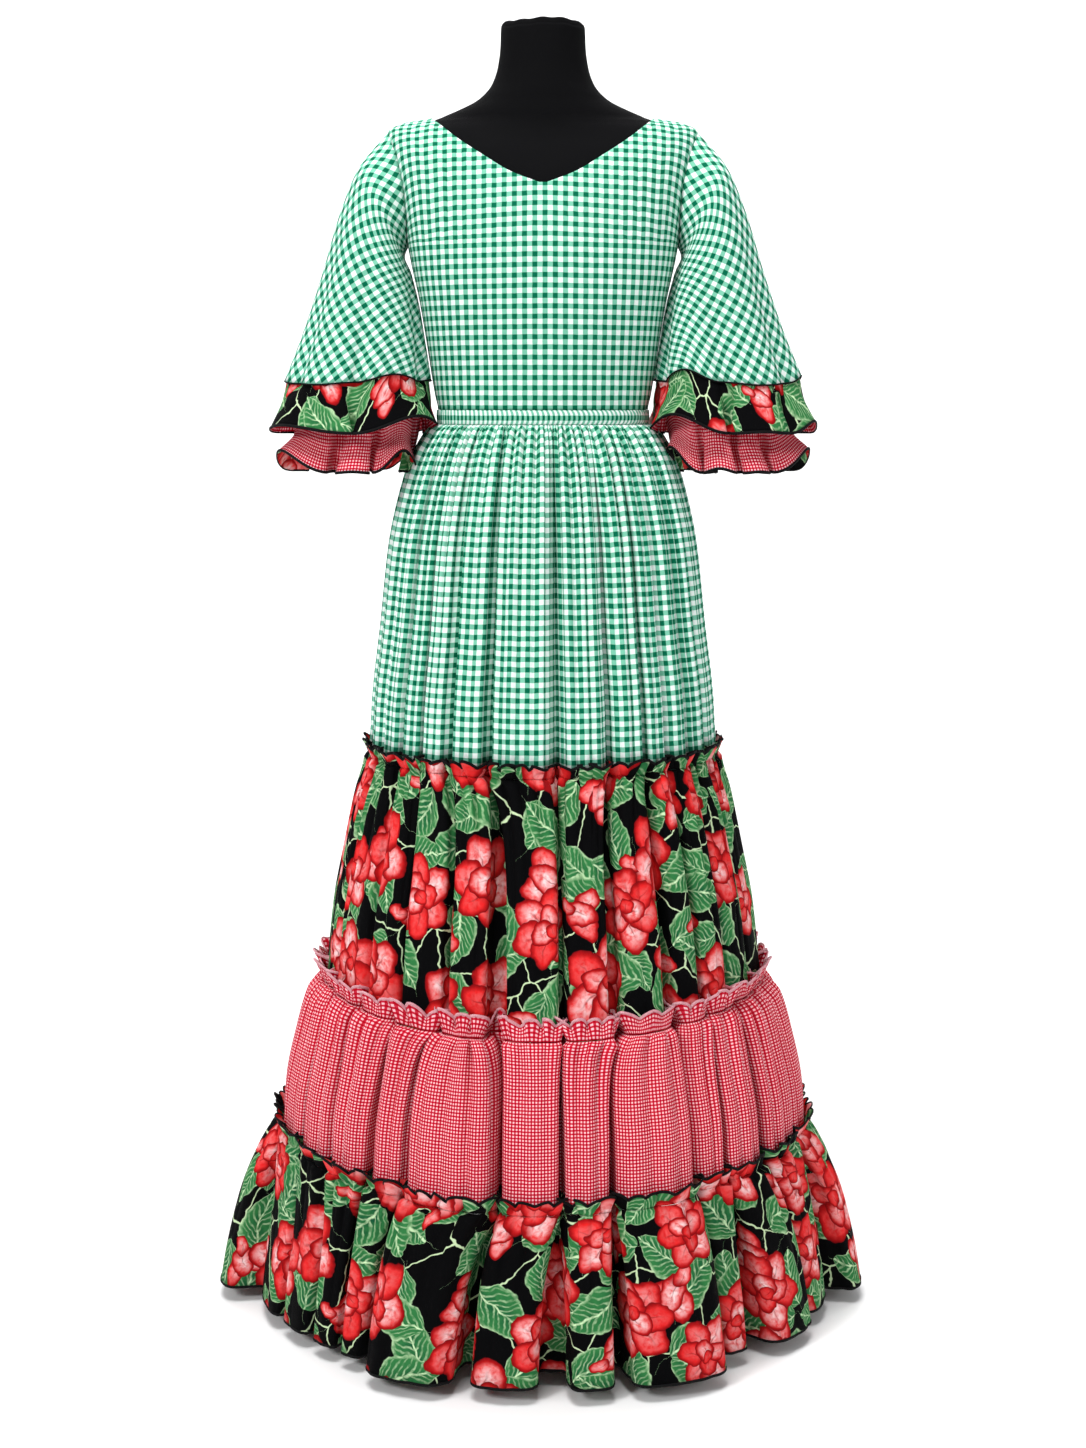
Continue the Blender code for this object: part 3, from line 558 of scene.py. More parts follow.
colours = [(label, "Color") for label in ("Dark", "Mid", "Light")]
tree, given, result = new_group(
    "gingham_check", (("Place", "Vector"), ("Check", "Float"), *colours), (("Color", "Color"),)
)
gingham_group = tree
axes = split(tree, waver(tree, given["Place"], *STRIPE_WAVER))
stripes = []
for axis in (0, 1):
    waved = ripple(tree, axes[axis], given["Check"])
    stripes.append(calc_range(tree, waved, -STRIPE_EDGE, STRIPE_EDGE))
either = calc(tree, "MAXIMUM", *stripes)
one = blend(tree, either, given["Light"], given["Mid"])
crossing = calc(tree, "MULTIPLY", *stripes)
wire(tree, blend(tree, crossing, one, given["Dark"]), result.inputs["Color"])


def cotton_finish(tree, shader, colour):
    """Gives a printed or woven colour its threads, its uneven dye and the nap of cotton."""
    place = cloth_place(tree)
    weave = place_group(tree, weave_group, Place=place, Thread=THREAD)
    dye = calc_range(tree, noise(tree, place, *DYE), *DYE_TONES)
    threads = calc_range(tree, weave["Slub"], *SLUB_TONES)
    tone = calc(tree, "MULTIPLY", dye, threads)
    shaded = add_node(tree, "VectorMath", {0: colour, "Scale": tone}, operation="SCALE")
    coat(tree, shader, shaded.outputs[0], COTTON_ROUGHNESS, COTTON_SHINE)
    bump(tree, shader, weave["Height"], *COTTON_RELIEF)


def gingham_material(name, check, dark, mid, light):
    material, tree, shader = new_material(name)
    place = cloth_place(tree)
    checks = place_group(
        tree, gingham_group, Place=place, Check=check, Dark=dark, Mid=mid, Light=light
    )
    cotton_finish(tree, shader, checks["Color"])
    return material


def side_limit(height):
    """The angle at which a bodice panel ends: side seam, armhole, then shoulder seam."""
    edge = np.interp(height, *zip(*ARMHOLE_EDGE))
    share = np.minimum(edge / read_table(BODICE_SECTIONS, "half_width", height), 1.0)
    square = np.interp(height, *zip(*SQUARENESS))
    limit = np.arcsin(share ** (square / 2))
    inside = (height > UNDERARM) & (height < SHOULDER_POINT)
    return np.where(inside, limit, math.pi / 2)


def bodice_points(front, rise, share):
    """Points of a panel at a share of the way up from the waist and out from its centre."""
    line = FRONT_NECKLINE if front else BACK_NECKLINE
    low = np.full_like(share, line[0][1])
    high = np.full_like(share, NECK_POINT)
    for _ in range(NECKLINE_HALVINGS):
        middle = (low + high) / 2
        x = torso_points(BODICE_SECTIONS, middle, np.abs(share) * side_limit(middle))[..., 0]
        below = middle < smooth(*zip(*line), x)
        low = np.where(below, middle, low)
        high = np.where(below, high, middle)
    height = BODICE_BOTTOM + rise[:, None] * (low - BODICE_BOTTOM)
    angle = share * side_limit(height)
    if not front:
        angle = math.pi - angle
    return torso_points(BODICE_SECTIONS, height, angle), height, angle


def section_lengths(height, angle, middle, steps=24):
    """Distance round the torso section at each height from its middle to each angle."""
    length = 0.0
    before = torso_points(BODICE_SECTIONS, height, middle + 0 * angle)
    for step in range(1, steps + 1):
        here = torso_points(BODICE_SECTIONS, height, middle + (angle - middle) * step / steps)
        length = length + np.linalg.norm(here - before, axis=-1)
        before = here
    return length * np.sign(angle - middle)


green_gingham = gingham_material("green_gingham", CHECK, GREEN_DARK, GREEN_MID, GREEN_WHITE)
rise = np.linspace(1.0, 0.0, BODICE_ROWS)
shares = np.linspace(-1.0, 1.0, BODICE_COLUMNS)
armhole_edges = {}
for name, front in (("bodice_front_cloth", True), ("bodice_back_cloth", False)):
    grid, height, angle = bodice_points(front, rise, shares)
    facing = -1 if front else 1
    middle = 0.0 if front else math.pi
    u = section_lengths(height, angle, middle)
    down = np.linalg.norm(np.diff(grid, axis=0), axis=2)
    v = np.concatenate([np.cumsum(down[::-1], axis=0)[::-1], 0 * u[:1]])
    for edge in (0, -1):
        grid[:, edge, 1] = facing * np.maximum(facing * grid[:, edge, 1], SEAM / 2)
    column = -1
    if not front:
        grid, u, v = grid[:, ::-1], u[:, ::-1], v[:, ::-1]
        column = 0
    places = np.stack([u, v], -1)
    panel = add_shell(name, grid, places, [green_gingham], CLOTH_WALL, False)
    on_armhole = (height[:, -1] <= SHOULDER_POINT) & (height[:, -1] >= UNDERARM)
    armhole_edges[front] = grid[on_armhole, column]
    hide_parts(name.replace("_cloth", ""))


# Waist casing
# A narrow strip of the same gingham with elastic threaded through it, so it is drawn up into
# many small uneven gathers that stand away from the body.
SKIRT_TOP = 1.1846
CASING_TOP = 1.2032
CASING_COLUMNS = 720
CASING_ROWS = 14
CASING_GATHERS = 118
CASING_DEPTH = 0.0011
CASING_FULLNESS = 1.9
# As shares of that depth: the bulge between the two seams, the gathers on it and the lift of
# the whole strip. Then how much flatter the gathers lie on the bulge, how far they slant, and
# how deep the second, wider ones are beside them, and the power that rounds the bulge
CASING_BULGE = 1.2
CASING_RIDGE = 0.55
CASING_LIFT = 0.4
CASING_FLATTER = 0.35
CASING_SLANT = 0.25
CASING_SECOND = 0.5
CASING_ROUND = 0.5
# Seeds of the random draws count up from this one: two in the casing, then ten for each tier
# of the skirt, from the same start
SEED = 5
# The least and greatest width and depth of a gather, beside each other
GATHER_WIDTHS = (0.55, 1.5)
GATHER_DEPTHS = (0.4, 1.2)


def gathers(count, columns, seed):
    """A row of uneven gathers: the phase and the depth at each column."""
    dice = np.random.default_rng(seed)
    widths = dice.uniform(*GATHER_WIDTHS, count)
    ends = np.concatenate([[0.0], np.cumsum(widths)]) / widths.sum()
    depths = dice.uniform(*GATHER_DEPTHS, count)
    depths = np.append(depths, depths[0])
    around = np.arange(columns) / columns
    phase = np.interp(around, ends, np.arange(count + 1))
    return phase, np.interp(around, ends, depths)


angles = ring_angles(CASING_COLUMNS)
heights = np.linspace(CASING_TOP, SKIRT_TOP + SEAM, CASING_ROWS)
casing = torso_points(BODICE_SECTIONS, heights[:, None] + 0 * angles, angles[None, :])
phase, depth = gathers(CASING_GATHERS, CASING_COLUMNS, SEED)
second, second_depth = gathers(CASING_GATHERS // 2, CASING_COLUMNS, SEED + 1)
share = np.linspace(0.0, 1.0, CASING_ROWS)[:, None]
puff = np.sin(math.pi * np.clip(share, 0.02, 0.98)) ** CASING_ROUND
fold = depth * np.cos(2 * math.pi * (phase + CASING_SLANT * second_depth * share))
fold = fold + CASING_SECOND * second_depth * np.cos(2 * math.pi * second)
ridge = CASING_RIDGE * fold * (1 - CASING_FLATTER * puff)
out = CASING_DEPTH * (CASING_BULGE * puff + ridge + CASING_LIFT)
away = np.stack([np.sin(angles), -np.cos(angles), 0 * angles], axis=-1)
casing = casing + out[:, :, None] * away[None]
cloth = cloth_lengths(casing)
cloth[:, :, 0] *= CASING_FULLNESS
band = add_shell(
    "waist_casing_cloth", casing, cloth, [green_gingham], CLOTH_WALL
)
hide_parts("waist_casing")


# Skirt
# Four flounces, each a long straight strip gathered onto the one above along a line a little
# below its own top edge, so that the top stands up as a small frill. Folds run through all four.
CLOTH = 0.0013
# Height of each tier's lower edge, how much lower it hangs in front and behind than at the
# sides, and the height of the frill on its upper edge
TIER_BOTTOMS = (0.755, 0.457, 0.256, 0.022)
TIER_DROOPS = (0.003, 0.018, 0.020, 0.0)
HEADINGS = (0.0, 0.014, 0.020, 0.015)
# Outer half-width and half-depth of the skirt at each height
SkirtSection = namedtuple("SkirtSection", "height half_width half_depth")
SKIRT_SECTIONS = [SkirtSection(*row) for row in (
    (0.022, 0.405, 0.372),
    (0.067, 0.399, 0.370),
    (0.138, 0.385, 0.364),
    (0.202, 0.370, 0.357),
    (0.236, 0.360, 0.350),
    (0.256, 0.353, 0.345),
    (0.314, 0.347, 0.338),
    (0.377, 0.332, 0.324),
    (0.432, 0.313, 0.307),
    (0.457, 0.292, 0.289),
    (0.504, 0.286, 0.281),
    (0.560, 0.279, 0.274),
    (0.630, 0.264, 0.260),
    (0.697, 0.248, 0.245),
    (0.755, 0.229, 0.226),
    (0.835, 0.223, 0.213),
    (0.918, 0.212, 0.196),
    (1.031, 0.198, 0.173),
    (1.091, 0.184, 0.156),
    (1.141, 0.167, 0.136),
    (1.172, 0.148, 0.114),
    (SKIRT_TOP, 0.1372, 0.1012),
)]
# One row a fold, round from the wearer's right: the angle of its valley from the centre front
# at the lower edge of each tier (degrees), the valley's depth there, and how far the lobe
# after it stands back from the skirt's outline at the lower edges of tiers 3 and 4 (mm)
Fold = namedtuple(
    "Fold", "angle_1 angle_2 angle_3 angle_4 depth_1 depth_2 depth_3 depth_4 back_3 back_4"
)
FOLDS = [Fold(*row) for row in (
    (-81.0, -83.0, -83.0, -83.0, 4, 12, 20, 34, 2, 20),
    (-67.0, -69.0, -65.0, -66.0, 5, 11, 14, 36, 4, 26),
    (-54.0, -52.0, -51.0, -53.5, 7, 16, 24, 48, 3, 28),
    (-44.0, -39.5, -40.5, -44.5, 6, 17, 24, 44, 6, 26),
    (-32.7, -25.4, -30.0, -36.0, 11, 21, 36, 78, 0, -5),
    (-18.9, -11.9, -9.4, -15.5, 13, 24, 38, 68, 0, 6),
    (4.8, 4.9, 3.8, 1.8, 14, 21, 33, 58, 2, 2),
    (22.7, 18.9, 14.6, 15.0, 13, 21, 36, 64, 0, -8),
    (35.5, 34.3, 33.9, 37.3, 9, 20, 38, 56, 12, 34),
    (44.5, 44.8, 43.0, 47.9, 7, 15, 20, 80, 8, 12),
    (55.5, 56.0, 56.0, 67.4, 7, 17, 27, 50, 4, 18),
    (68.0, 69.5, 72.0, 82.5, 5, 12, 20, 30, 0, -32),
    (84.0, 88.0, 92.0, 103.0, 5, 13, 21, 34, 3, 22),
    (98.0, 102.0, 106.0, 115.0, 8, 17, 27, 50, 5, 14),
    (113.0, 116.0, 120.0, 127.0, 11, 20, 33, 64, 4, 25),
    (129.0, 131.0, 134.0, 140.0, 7, 14, 20, 40, 0, -4),
    (145.0, 147.0, 148.0, 152.5, 12, 21, 34, 66, 3, 10),
    (161.0, 163.0, 165.0, 167.5, 13, 22, 36, 72, 0, 0),
    (177.0, 178.0, 179.0, 181.0, 8, 16, 24, 46, 4, 16),
    (192.0, 192.0, 193.0, 194.5, 12, 21, 34, 66, 0, -6),
    (207.0, 208.0, 208.0, 210.0, 10, 18, 30, 58, 3, 12),
    (222.0, 223.0, 222.5, 222.0, 8, 15, 22, 42, 6, 27),
    (240.0, 240.0, 239.0, 237.0, 9, 18, 29, 60, 4, 20),
    (259.0, 259.0, 257.0, 254.0, 5, 12, 20, 34, 0, -39),
)]
# One row a fold again: how wide its valley stands open on each tier, and how far the cloth
# beside it hangs over that valley, to the wearer's right and left of it (mm)
Valley = namedtuple("Valley", "open_1 open_2 open_3 open_4 right left")
VALLEYS = [Valley(*row) for row in (
    (4, 8, 9, 16, 2, 3),
    (5, 6, 9, 18, 3, 1),
    (5, 6, 12, 22, 1, 4),
    (6, 7, 19, 20, 4, 0),
    (6, 8, 16, 26, 2, 5),
    (8, 30, 16, 28, 5, 3),
    (10, 8, 11, 40, 3, 1),
    (8, 20, 16, 24, 1, 5),
    (7, 19, 12, 30, 4, 2),
    (5, 8, 14, 34, 0, 4),
    (5, 11, 19, 24, 3, 3),
    (4, 7, 12, 14, 2, 4),
    (5, 12, 11, 16, 3, 1),
    (6, 8, 16, 24, 1, 4),
    (8, 22, 14, 30, 5, 2),
    (5, 9, 11, 20, 2, 3),
    (9, 14, 18, 34, 1, 5),
    (8, 24, 14, 26, 4, 1),
    (5, 8, 9, 22, 2, 4),
    (9, 10, 16, 32, 5, 3),
    (7, 20, 14, 24, 1, 2),
    (6, 9, 11, 18, 3, 5),
    (7, 16, 16, 28, 4, 1),
    (5, 8, 11, 16, 1, 3),
)]
# How far the folds have grown at shares of a tier's height below its gathering line
Growth = namedtuple("Growth", "share tier_1 tier_2 tier_3 tier_4")
FOLD_GROWTH = [Growth(*row) for row in (
    (0.00, 0.00, 0.00, 0.00, 0.00),
    (0.04, 0.25, 0.24, 0.30, 0.10),
    (0.10, 0.52, 0.50, 0.58, 0.24),
    (0.24, 0.80, 0.78, 0.84, 0.52),
    (0.48, 0.94, 0.94, 0.96, 0.80),
    (1.00, 1.00, 1.00, 1.00, 1.00),
)]
# Half of a fold, from the middle of its valley to the top of its lobe. At a share of the
# cloth's way: how much of the valley's floor (floor), of the overhang (lean), of the wall's
# slant (slant) and of the lobe's face (face) it has crossed, and how far out it is
LobePoint = namedtuple("LobePoint", "share floor lean slant face out")
LOBE = [LobePoint(*row) for row in (
    (0.000, 0.00, 0.00, 0.00, 0.00, 0.00),
    (0.035, 0.70, 0.00, 0.00, 0.00, 0.03),
    (0.065, 1.00, 0.05, 0.05, 0.00, 0.14),
    (0.105, 1.00, 0.50, 0.35, 0.00, 0.44),
    (0.150, 1.00, 1.00, 0.75, 0.00, 0.72),
    (0.200, 1.00, 0.70, 1.00, 0.10, 0.885),
    (0.290, 1.00, 0.25, 1.00, 0.36, 0.965),
    (0.500, 1.00, 0.00, 1.00, 1.00, 1.00),
)]
# How much deeper the cloth's valleys run than those of the solids, their walls' slant as a
# share of the fold, and how much of its overhang a lobe has, on each tier
DEEPER = (2.2, 1.75, 1.5, 1.12)
SLANT = (0.12, 0.03, 0.03, 0.03)
OVERHANG = (0.3, 0.3, 1.0, 1.0)
FOLD_COLUMNS = 56
TIER_ROWS = 20
# A tier's rows crowd towards its gathering line by this power
ROW_CROWDING = 1.6
# Gathers and soft ridges below each gathering line: their number round it, depth and reach
Gather = namedtuple("Gather", "count depth reach")
GATHERS = (
    (Gather(126, 0.0020, 0.090), Gather(92, 0.0072, 0.380)),
    (Gather(190, 0.0018, 0.040), Gather(108, 0.0058, 0.170)),
    (Gather(230, 0.0018, 0.030), Gather(116, 0.0094, 0.150)),
    (Gather(230, 0.0022, 0.034), Gather(126, 0.0070, 0.110)),
)
GATHER_PLACES = 2000
# They start this far below the line. A ridge is round on top, with a narrow valley beside it
GATHER_START = 0.006
RIDGE_HEIGHT = 1.6
RIDGE_POWER = 0.8
RIDGE_VALLEY = 0.7
LEAST_REACH = 0.3


def lobe_half(columns, half_open, over, slant):
    """Across, 0 to a half, and out, 0 to 1, from a valley to the top of the lobe beside it."""
    share = np.arange(columns // 2 + 1) / columns
    fields = (smooth([row.share for row in LOBE], field, share) for field in zip(*LOBE))
    _, floor, lean, slanted, face, out = fields
    rest = 0.5 - half_open - slant
    return half_open * floor - over * lean + slant * slanted + rest * face, out


def whole_fold(left, right):
    """Across, 0 to 1, and out of a whole fold, from the halves beside its two valleys."""
    across = np.concatenate([left[0], 1 - right[0][-2:0:-1]])
    return across, np.concatenate([left[1], left[1][-2:0:-1]])


def fold_half(valley, tier, width, side):
    """The half of a skirt fold on one side of a valley."""
    half_open = getattr(valley, f"open_{tier + 1}") / 2000 / width
    over = getattr(valley, side) / 1000 / width * OVERHANG[tier]
    return lobe_half(FOLD_COLUMNS, half_open, over, SLANT[tier])


def fold_columns(tier):
    """Angle, offset from the outline and share of the way out of each column at the hem."""
    field = tier + 1
    height = TIER_BOTTOMS[tier]
    radius = read_table(SKIRT_SECTIONS, "half_width", height)
    columns = []
    for i, fold in enumerate(FOLDS):
        after = FOLDS[(i + 1) % len(FOLDS)]
        start = getattr(fold, f"angle_{field}")
        end = getattr(after, f"angle_{field}")
        end += 360.0 if end < start else 0.0
        width = float(radius) * math.radians(end - start)
        left = fold_half(VALLEYS[i], tier, width, "left")
        right = fold_half(VALLEYS[(i + 1) % len(FOLDS)], tier, width, "right")
        across, out = whole_fold(left, right)
        depths = getattr(fold, f"depth_{field}"), getattr(after, f"depth_{field}")
        back = getattr(fold, f"back_{field}", 0.0)
        depth = (depths[0] + (depths[1] - depths[0]) * across) * DEEPER[tier]
        angle = np.radians(start + (end - start) * across)
        offset = -(depth * (1 - out) + back * out) / 1000
        columns.append(np.stack([angle, offset, out]))
    return np.concatenate(columns, axis=1)


def edge_height(tier, angle):
    return TIER_BOTTOMS[tier] - TIER_DROOPS[tier] * np.cos(angle) ** 2


def skirt_size(height):
    """The skirt's outer half-width and half-depth at any heights."""
    return [read_table(SKIRT_SECTIONS, field, height) for field in ("half_width", "half_depth")]


def skirt_ring(height, angle, offset):
    wide, deep = (half + offset for half in skirt_size(height))
    return np.stack([wide * np.sin(angle), -deep * np.cos(angle), height + 0 * angle], -1)


def outward(grid):
    """Unit normals of a closed grid of rings, turned outwards."""
    across = np.roll(grid, -1, axis=1) - np.roll(grid, 1, axis=1)
    normals = np.cross(np.gradient(grid, axis=0), across)
    return normals / np.maximum(np.linalg.norm(normals, axis=-1, keepdims=True), 1e-9)


def at_height(grid, values, height):
    """What is kept for each point of a grid of rings, read where its columns cross a height."""
    columns = np.arange(grid.shape[1])
    row = np.clip((grid[:, :, 2] > height).sum(axis=0) - 1, 0, len(grid) - 2)
    high, low = grid[row, columns, 2], grid[row + 1, columns, 2]
    share = ((high - height) / (high - low))[:, None]
    return values[row, columns] * (1 - share) + values[row + 1, columns] * share


def growth(tier, share):
    """How far a tier's folds have grown at shares of its height."""
    return smooth(
        [row.share for row in FOLD_GROWTH],
        [getattr(row, f"tier_{tier + 1}") for row in FOLD_GROWTH],
        share,
    )


def tier_rows(tier, above):
    """Rings of a tier from its gathering line down, before its gathers are added."""
    angle, offset, _ = fold_columns(tier)
    bottom = edge_height(tier, angle)
    share = np.linspace(0.0, 1.0, TIER_ROWS) ** ROW_CROWDING
    grown = growth(tier, share)
    if above is None:
        rows = []
        for part, grow in zip(share, grown):
            rows.append(skirt_ring(SKIRT_TOP + (bottom - SKIRT_TOP) * part, angle, offset * grow))
        return np.array(rows)
    upper, upper_normals = above
    upper_angle = fold_columns(tier - 1)[0]
    gather = edge_height(tier - 1, upper_angle)
    line = at_height(upper, upper, gather)
    line = line + at_height(upper, upper_normals, gather) * (CLOTH + SEAM)
    size_there = skirt_size(gather)
    rows = []
    for part, grow in zip(share, grown):
        height = gather + (bottom - gather) * part
        wider, deeper = (half - there for half, there in zip(skirt_size(height), size_there))
        gathered = line + np.stack(
            [np.sin(upper_angle) * wider, -np.cos(upper_angle) * deeper, height - gather], -1
        )
        rows.append(gathered * (1 - grow) + skirt_ring(height, angle, offset) * grow)
    return np.array(rows)


def ring_lengths(ring):
    """Length along a closed ring to each of its points, and to its first one again."""
    steps = np.linalg.norm(np.roll(ring, -1, axis=0) - ring, axis=1)
    return np.concatenate([[0.0], np.cumsum(steps)])


def gather_waves(gather, lengths, seed):
    """How far out the gathers stand at the places along a ring, and how far down they reach."""
    phase, depth = gathers(gather.count, GATHER_PLACES, seed)
    along = lengths[:-1] / lengths[-1] * GATHER_PLACES
    phase = np.interp(along, np.arange(GATHER_PLACES), phase)
    depth = np.interp(along, np.arange(GATHER_PLACES), depth)
    ridge = RIDGE_HEIGHT * np.abs(np.cos(math.pi * phase)) ** RIDGE_POWER - RIDGE_VALLEY
    return gather.depth * depth * ridge, gather.reach * (LEAST_REACH + depth)


def add_tier(tier, above, material):
    """A tier's cloth from its gathering line down, and its rings for what is sewn to it."""
    rows = tier_rows(tier, above)
    normals = outward(rows)
    down = rows[0, :, 2] - rows[:, :, 2]
    start = np.clip(down / GATHER_START, 0.0, 1.0)
    measured = rows[0], rows[TIER_ROWS // 2]
    for i, (gather, ring) in enumerate(zip(GATHERS[tier], measured)):
        wave, reach = gather_waves(gather, ring_lengths(ring), SEED + 10 * tier + i)
        rows = rows + normals * (wave * np.exp(-down / reach) * start)[:, :, None]
    cloth = cloth_lengths(rows, gathered=True)
    name = f"skirt_tier_{tier + 1}"
    piece = add_shell(name + "_cloth", rows, cloth, [material], CLOTH_WALL)
    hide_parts(name + "_front", name + "_back")
    return piece, rows, cloth


# Skirt headings
# Above its gathering line each lower tier ends in a small frill that stands up over the tier
# above it. It is one cloth with its tier, gathered with it and overlocked along its top.
Heading = namedtuple("Heading", "count lean swing scallop curl")
HEADING_SHAPES = (
    None,
    Heading(122, 0.0045, 0.0080, 0.0080, 0.0027),
    Heading(124, 0.0065, 0.0130, 0.0125, 0.0040),
    Heading(160, 0.0050, 0.0095, 0.0095, 0.0032),
)
HEADING_COLUMNS = 1728
HEADING_ROWS = 7
# How much of its reach a frill has in the valleys of the tier above, the powers of the way up
# by which it swings, curls and scallops, and how uneven its top edge is
VALLEY_ROOM = 0.45
SWING_POWER = 0.85
CURL_POWER = 1.2
SCALLOP_POWER = 1.5
TOP_UNEVEN = 0.002


def on_ring(lengths, values, places):
    """What is kept for the points of a closed ring, read at other places along it."""
    values = np.concatenate([values, values[:1]])
    return np.stack([np.interp(places, lengths, column) for column in values.T], axis=-1)


def add_heading(tier, rows, cloth, above, material):
    """The frill that stands up over a tier's gathering line, and the line of its top edge."""
    shape = HEADING_SHAPES[tier]
    upper, upper_normals = above
    line = rows[0]
    lengths = ring_lengths(line)
    places = lengths[-1] * np.arange(HEADING_COLUMNS) / HEADING_COLUMNS
    phase, depth = gathers(shape.count, HEADING_COLUMNS, SEED + 10 * tier + 5)
    _, uneven = gathers(shape.count // 3, HEADING_COLUMNS, SEED + 10 * tier + 6)
    swing = np.cos(2 * math.pi * phase)
    outer = on_ring(lengths, fold_columns(tier - 1)[2][:, None], places)[:, 0]
    room = VALLEY_ROOM + (1 - VALLEY_ROOM) * outer
    rises = np.arange(HEADING_ROWS, -1, -1) / HEADING_ROWS
    grid = []
    for rise in rises:
        height = line[:, 2] + HEADINGS[tier] * rise
        at = on_ring(lengths, at_height(upper, upper, height), places)
        lie = on_ring(lengths, at_height(upper, upper_normals, height), places)
        out = CLOTH + SEAM + shape.lean * rise * uneven * room
        out = out + shape.swing * rise**SWING_POWER * depth * room * (0.5 + 0.5 * swing)
        along = np.cross(lie, (0.0, 0.0, 1.0))
        curl = shape.curl * rise**CURL_POWER * depth * np.sin(2 * math.pi * phase)
        ring = at + lie * out[:, None] - along * curl[:, None]
        edge = shape.scallop / 2 * swing * depth + TOP_UNEVEN * (uneven - np.mean(GATHER_DEPTHS))
        ring[:, 2] += rise**SCALLOP_POWER * edge
        grid.append(ring)
    u = np.append(np.interp(places, lengths, cloth[0, :, 0]), cloth[0, -1, 0])
    v = HEADINGS[tier] * rises
    places_on_cloth = np.stack(np.broadcast_arrays(u[None, :], v[:, None]), axis=-1)
    name = f"skirt_heading_{tier + 1}"
    frill = add_shell(name, np.array(grid), places_on_cloth, [material], CLOTH_WALL)
    return frill, grid[0]


# Red gingham and floral print
# The cotton of the lower tiers and the ruffles. The print has blooms of ten petals, sprays of
# four, broad veined leaves and thin pale stems on black, scattered, turned and sized by chance.
RED_CHECK = 0.0021
RED_DARK = (0.46, 0.003, 0.014, 1.0)
RED_MID = (0.59, 0.022, 0.052, 1.0)
RED_WHITE = (0.94, 0.56, 0.6, 1.0)
PRINT_BLACK = (0.0016, 0.0016, 0.002, 1.0)
PETAL_DEEP = (0.15, 0.003, 0.005, 1.0)
PETAL_RED = (0.74, 0.012, 0.013, 1.0)
PETAL_PINK = (0.96, 0.69, 0.69, 1.0)
LEAF_DEEP = (0.0025, 0.065, 0.03, 1.0)
LEAF_GREEN = (0.033, 0.19, 0.055, 1.0)
LEAF_PALE = (0.62, 0.86, 0.5, 1.0)
STEM_PALE = (0.55, 0.7, 0.42, 1.0)
# The petals of a bloom, from the back ones to the front ones: place of the middle, turn of
# the tip from the x axis (degrees), length and width (mm), and how pale its middle is
Petal = namedtuple("Petal", "x y turn length width pale")
BLOOM = [Petal(*row) for row in (
    (25, 8, 18, 46, 40, 0.35),
    (6, 27, 82, 46, 42, 0.90),
    (-23, 15, 148, 44, 38, 0.15),
    (-22, -16, 215, 46, 40, 0.80),
    (3, -28, 275, 48, 40, 0.30),
    (22, -16, 322, 42, 34, 0.10),
    (9, 11, 62, 32, 28, 0.20),
    (-11, 5, 170, 34, 27, 0.60),
    (3, -9, 288, 34, 28, 1.00),
    (5, 2, 15, 19, 17, 0.10),
)]
SPRAY = [Petal(*row) for row in (
    (-13, 9, 128, 40, 30, 0.9),
    (14, 11, 52, 42, 30, 0.5),
    (1, 3, 92, 46, 30, 1.0),
    (-2, -21, 262, 30, 18, 0.6),
)]
# Layers of leaves and of blooms, from the back: spacing and shift of their scatter, how far
# chance moves each one in its cell, and a leaf's length or a bloom's petals
Layer = namedtuple("Layer", "spacing shift chance motif")
LEAF_LAYERS = (Layer(0.084, (0.3, 0.7), 0.8, 0.074), Layer(0.096, (9.4, 4.9), 0.8, 0.080))
BLOOM_LAYERS = (Layer(0.152, (5.1, 2.2), 0.7, SPRAY), Layer(0.150, (2.6, 8.3), 0.7, BLOOM))
LEAF_SIZES = (0.78, 1.15)
BLOOM_SIZES = (0.95, 1.28)
# How the print is brushed: the waver of its outlines and the grain and range of its streaks
BRUSH_WAVER = (48.0, 0.014)
STREAK_GRAIN = (150.0, 4.0)
STREAKS = (0.32, 0.6, 0.15, 1.0)
# The parts of a petal, each over a range of its radius (1 at the edge), of the way to its tip
# (1) and root (-1), or of the distance from its middle line
PETAL_TAPER = -0.16
PETAL_BODY = (0.97, 1.0, 1.0, 0.0)
PETAL_RIM = (0.66, 1.0, 0.0, 1.0)
PETAL_ROOT = (-0.35, -0.95, 0.0, 0.9)
PETAL_GLOW = (0.22, 0.84)
PETAL_LINE = (0.02, 0.07, 0.6, 0.0)
PETAL_LINE_END = (0.5, -0.3, 0.0, 1.0)
# The bend and outline of a leaf of length 1, and its parts, each over a range of the way from
# its rib to its rim, of a vein's wave or of the distance from the rib
LEAF_BEND = 0.35
LEAF_BELLY = 0.72
LEAF_ROUND = 0.75
LEAF_HALF = 0.34
LEAF_BODY = (0.95, 1.0, 1.0, 0.0)
LEAF_RIM = (0.80, 0.95, 0.0, 0.75)
LEAF_RIB = (0.008, 0.022, 1.0, 0.0)
LEAF_HEART = (0.0, 0.75, 1.0, 0.0)
LEAF_TONES = (0.0, 1.0, 0.25, 1.0)
VEIN_SLANT = -1.1
VEIN_HALF = 0.0575
VEIN = (0.2, 1.0, 0.0, 0.8)
VEIN_FADE = (0.0, 0.9, 0.9, 0.35)
STEM_SPACING = 12.5
STEM = (0.009, 0.015, 1.0, 0.0)


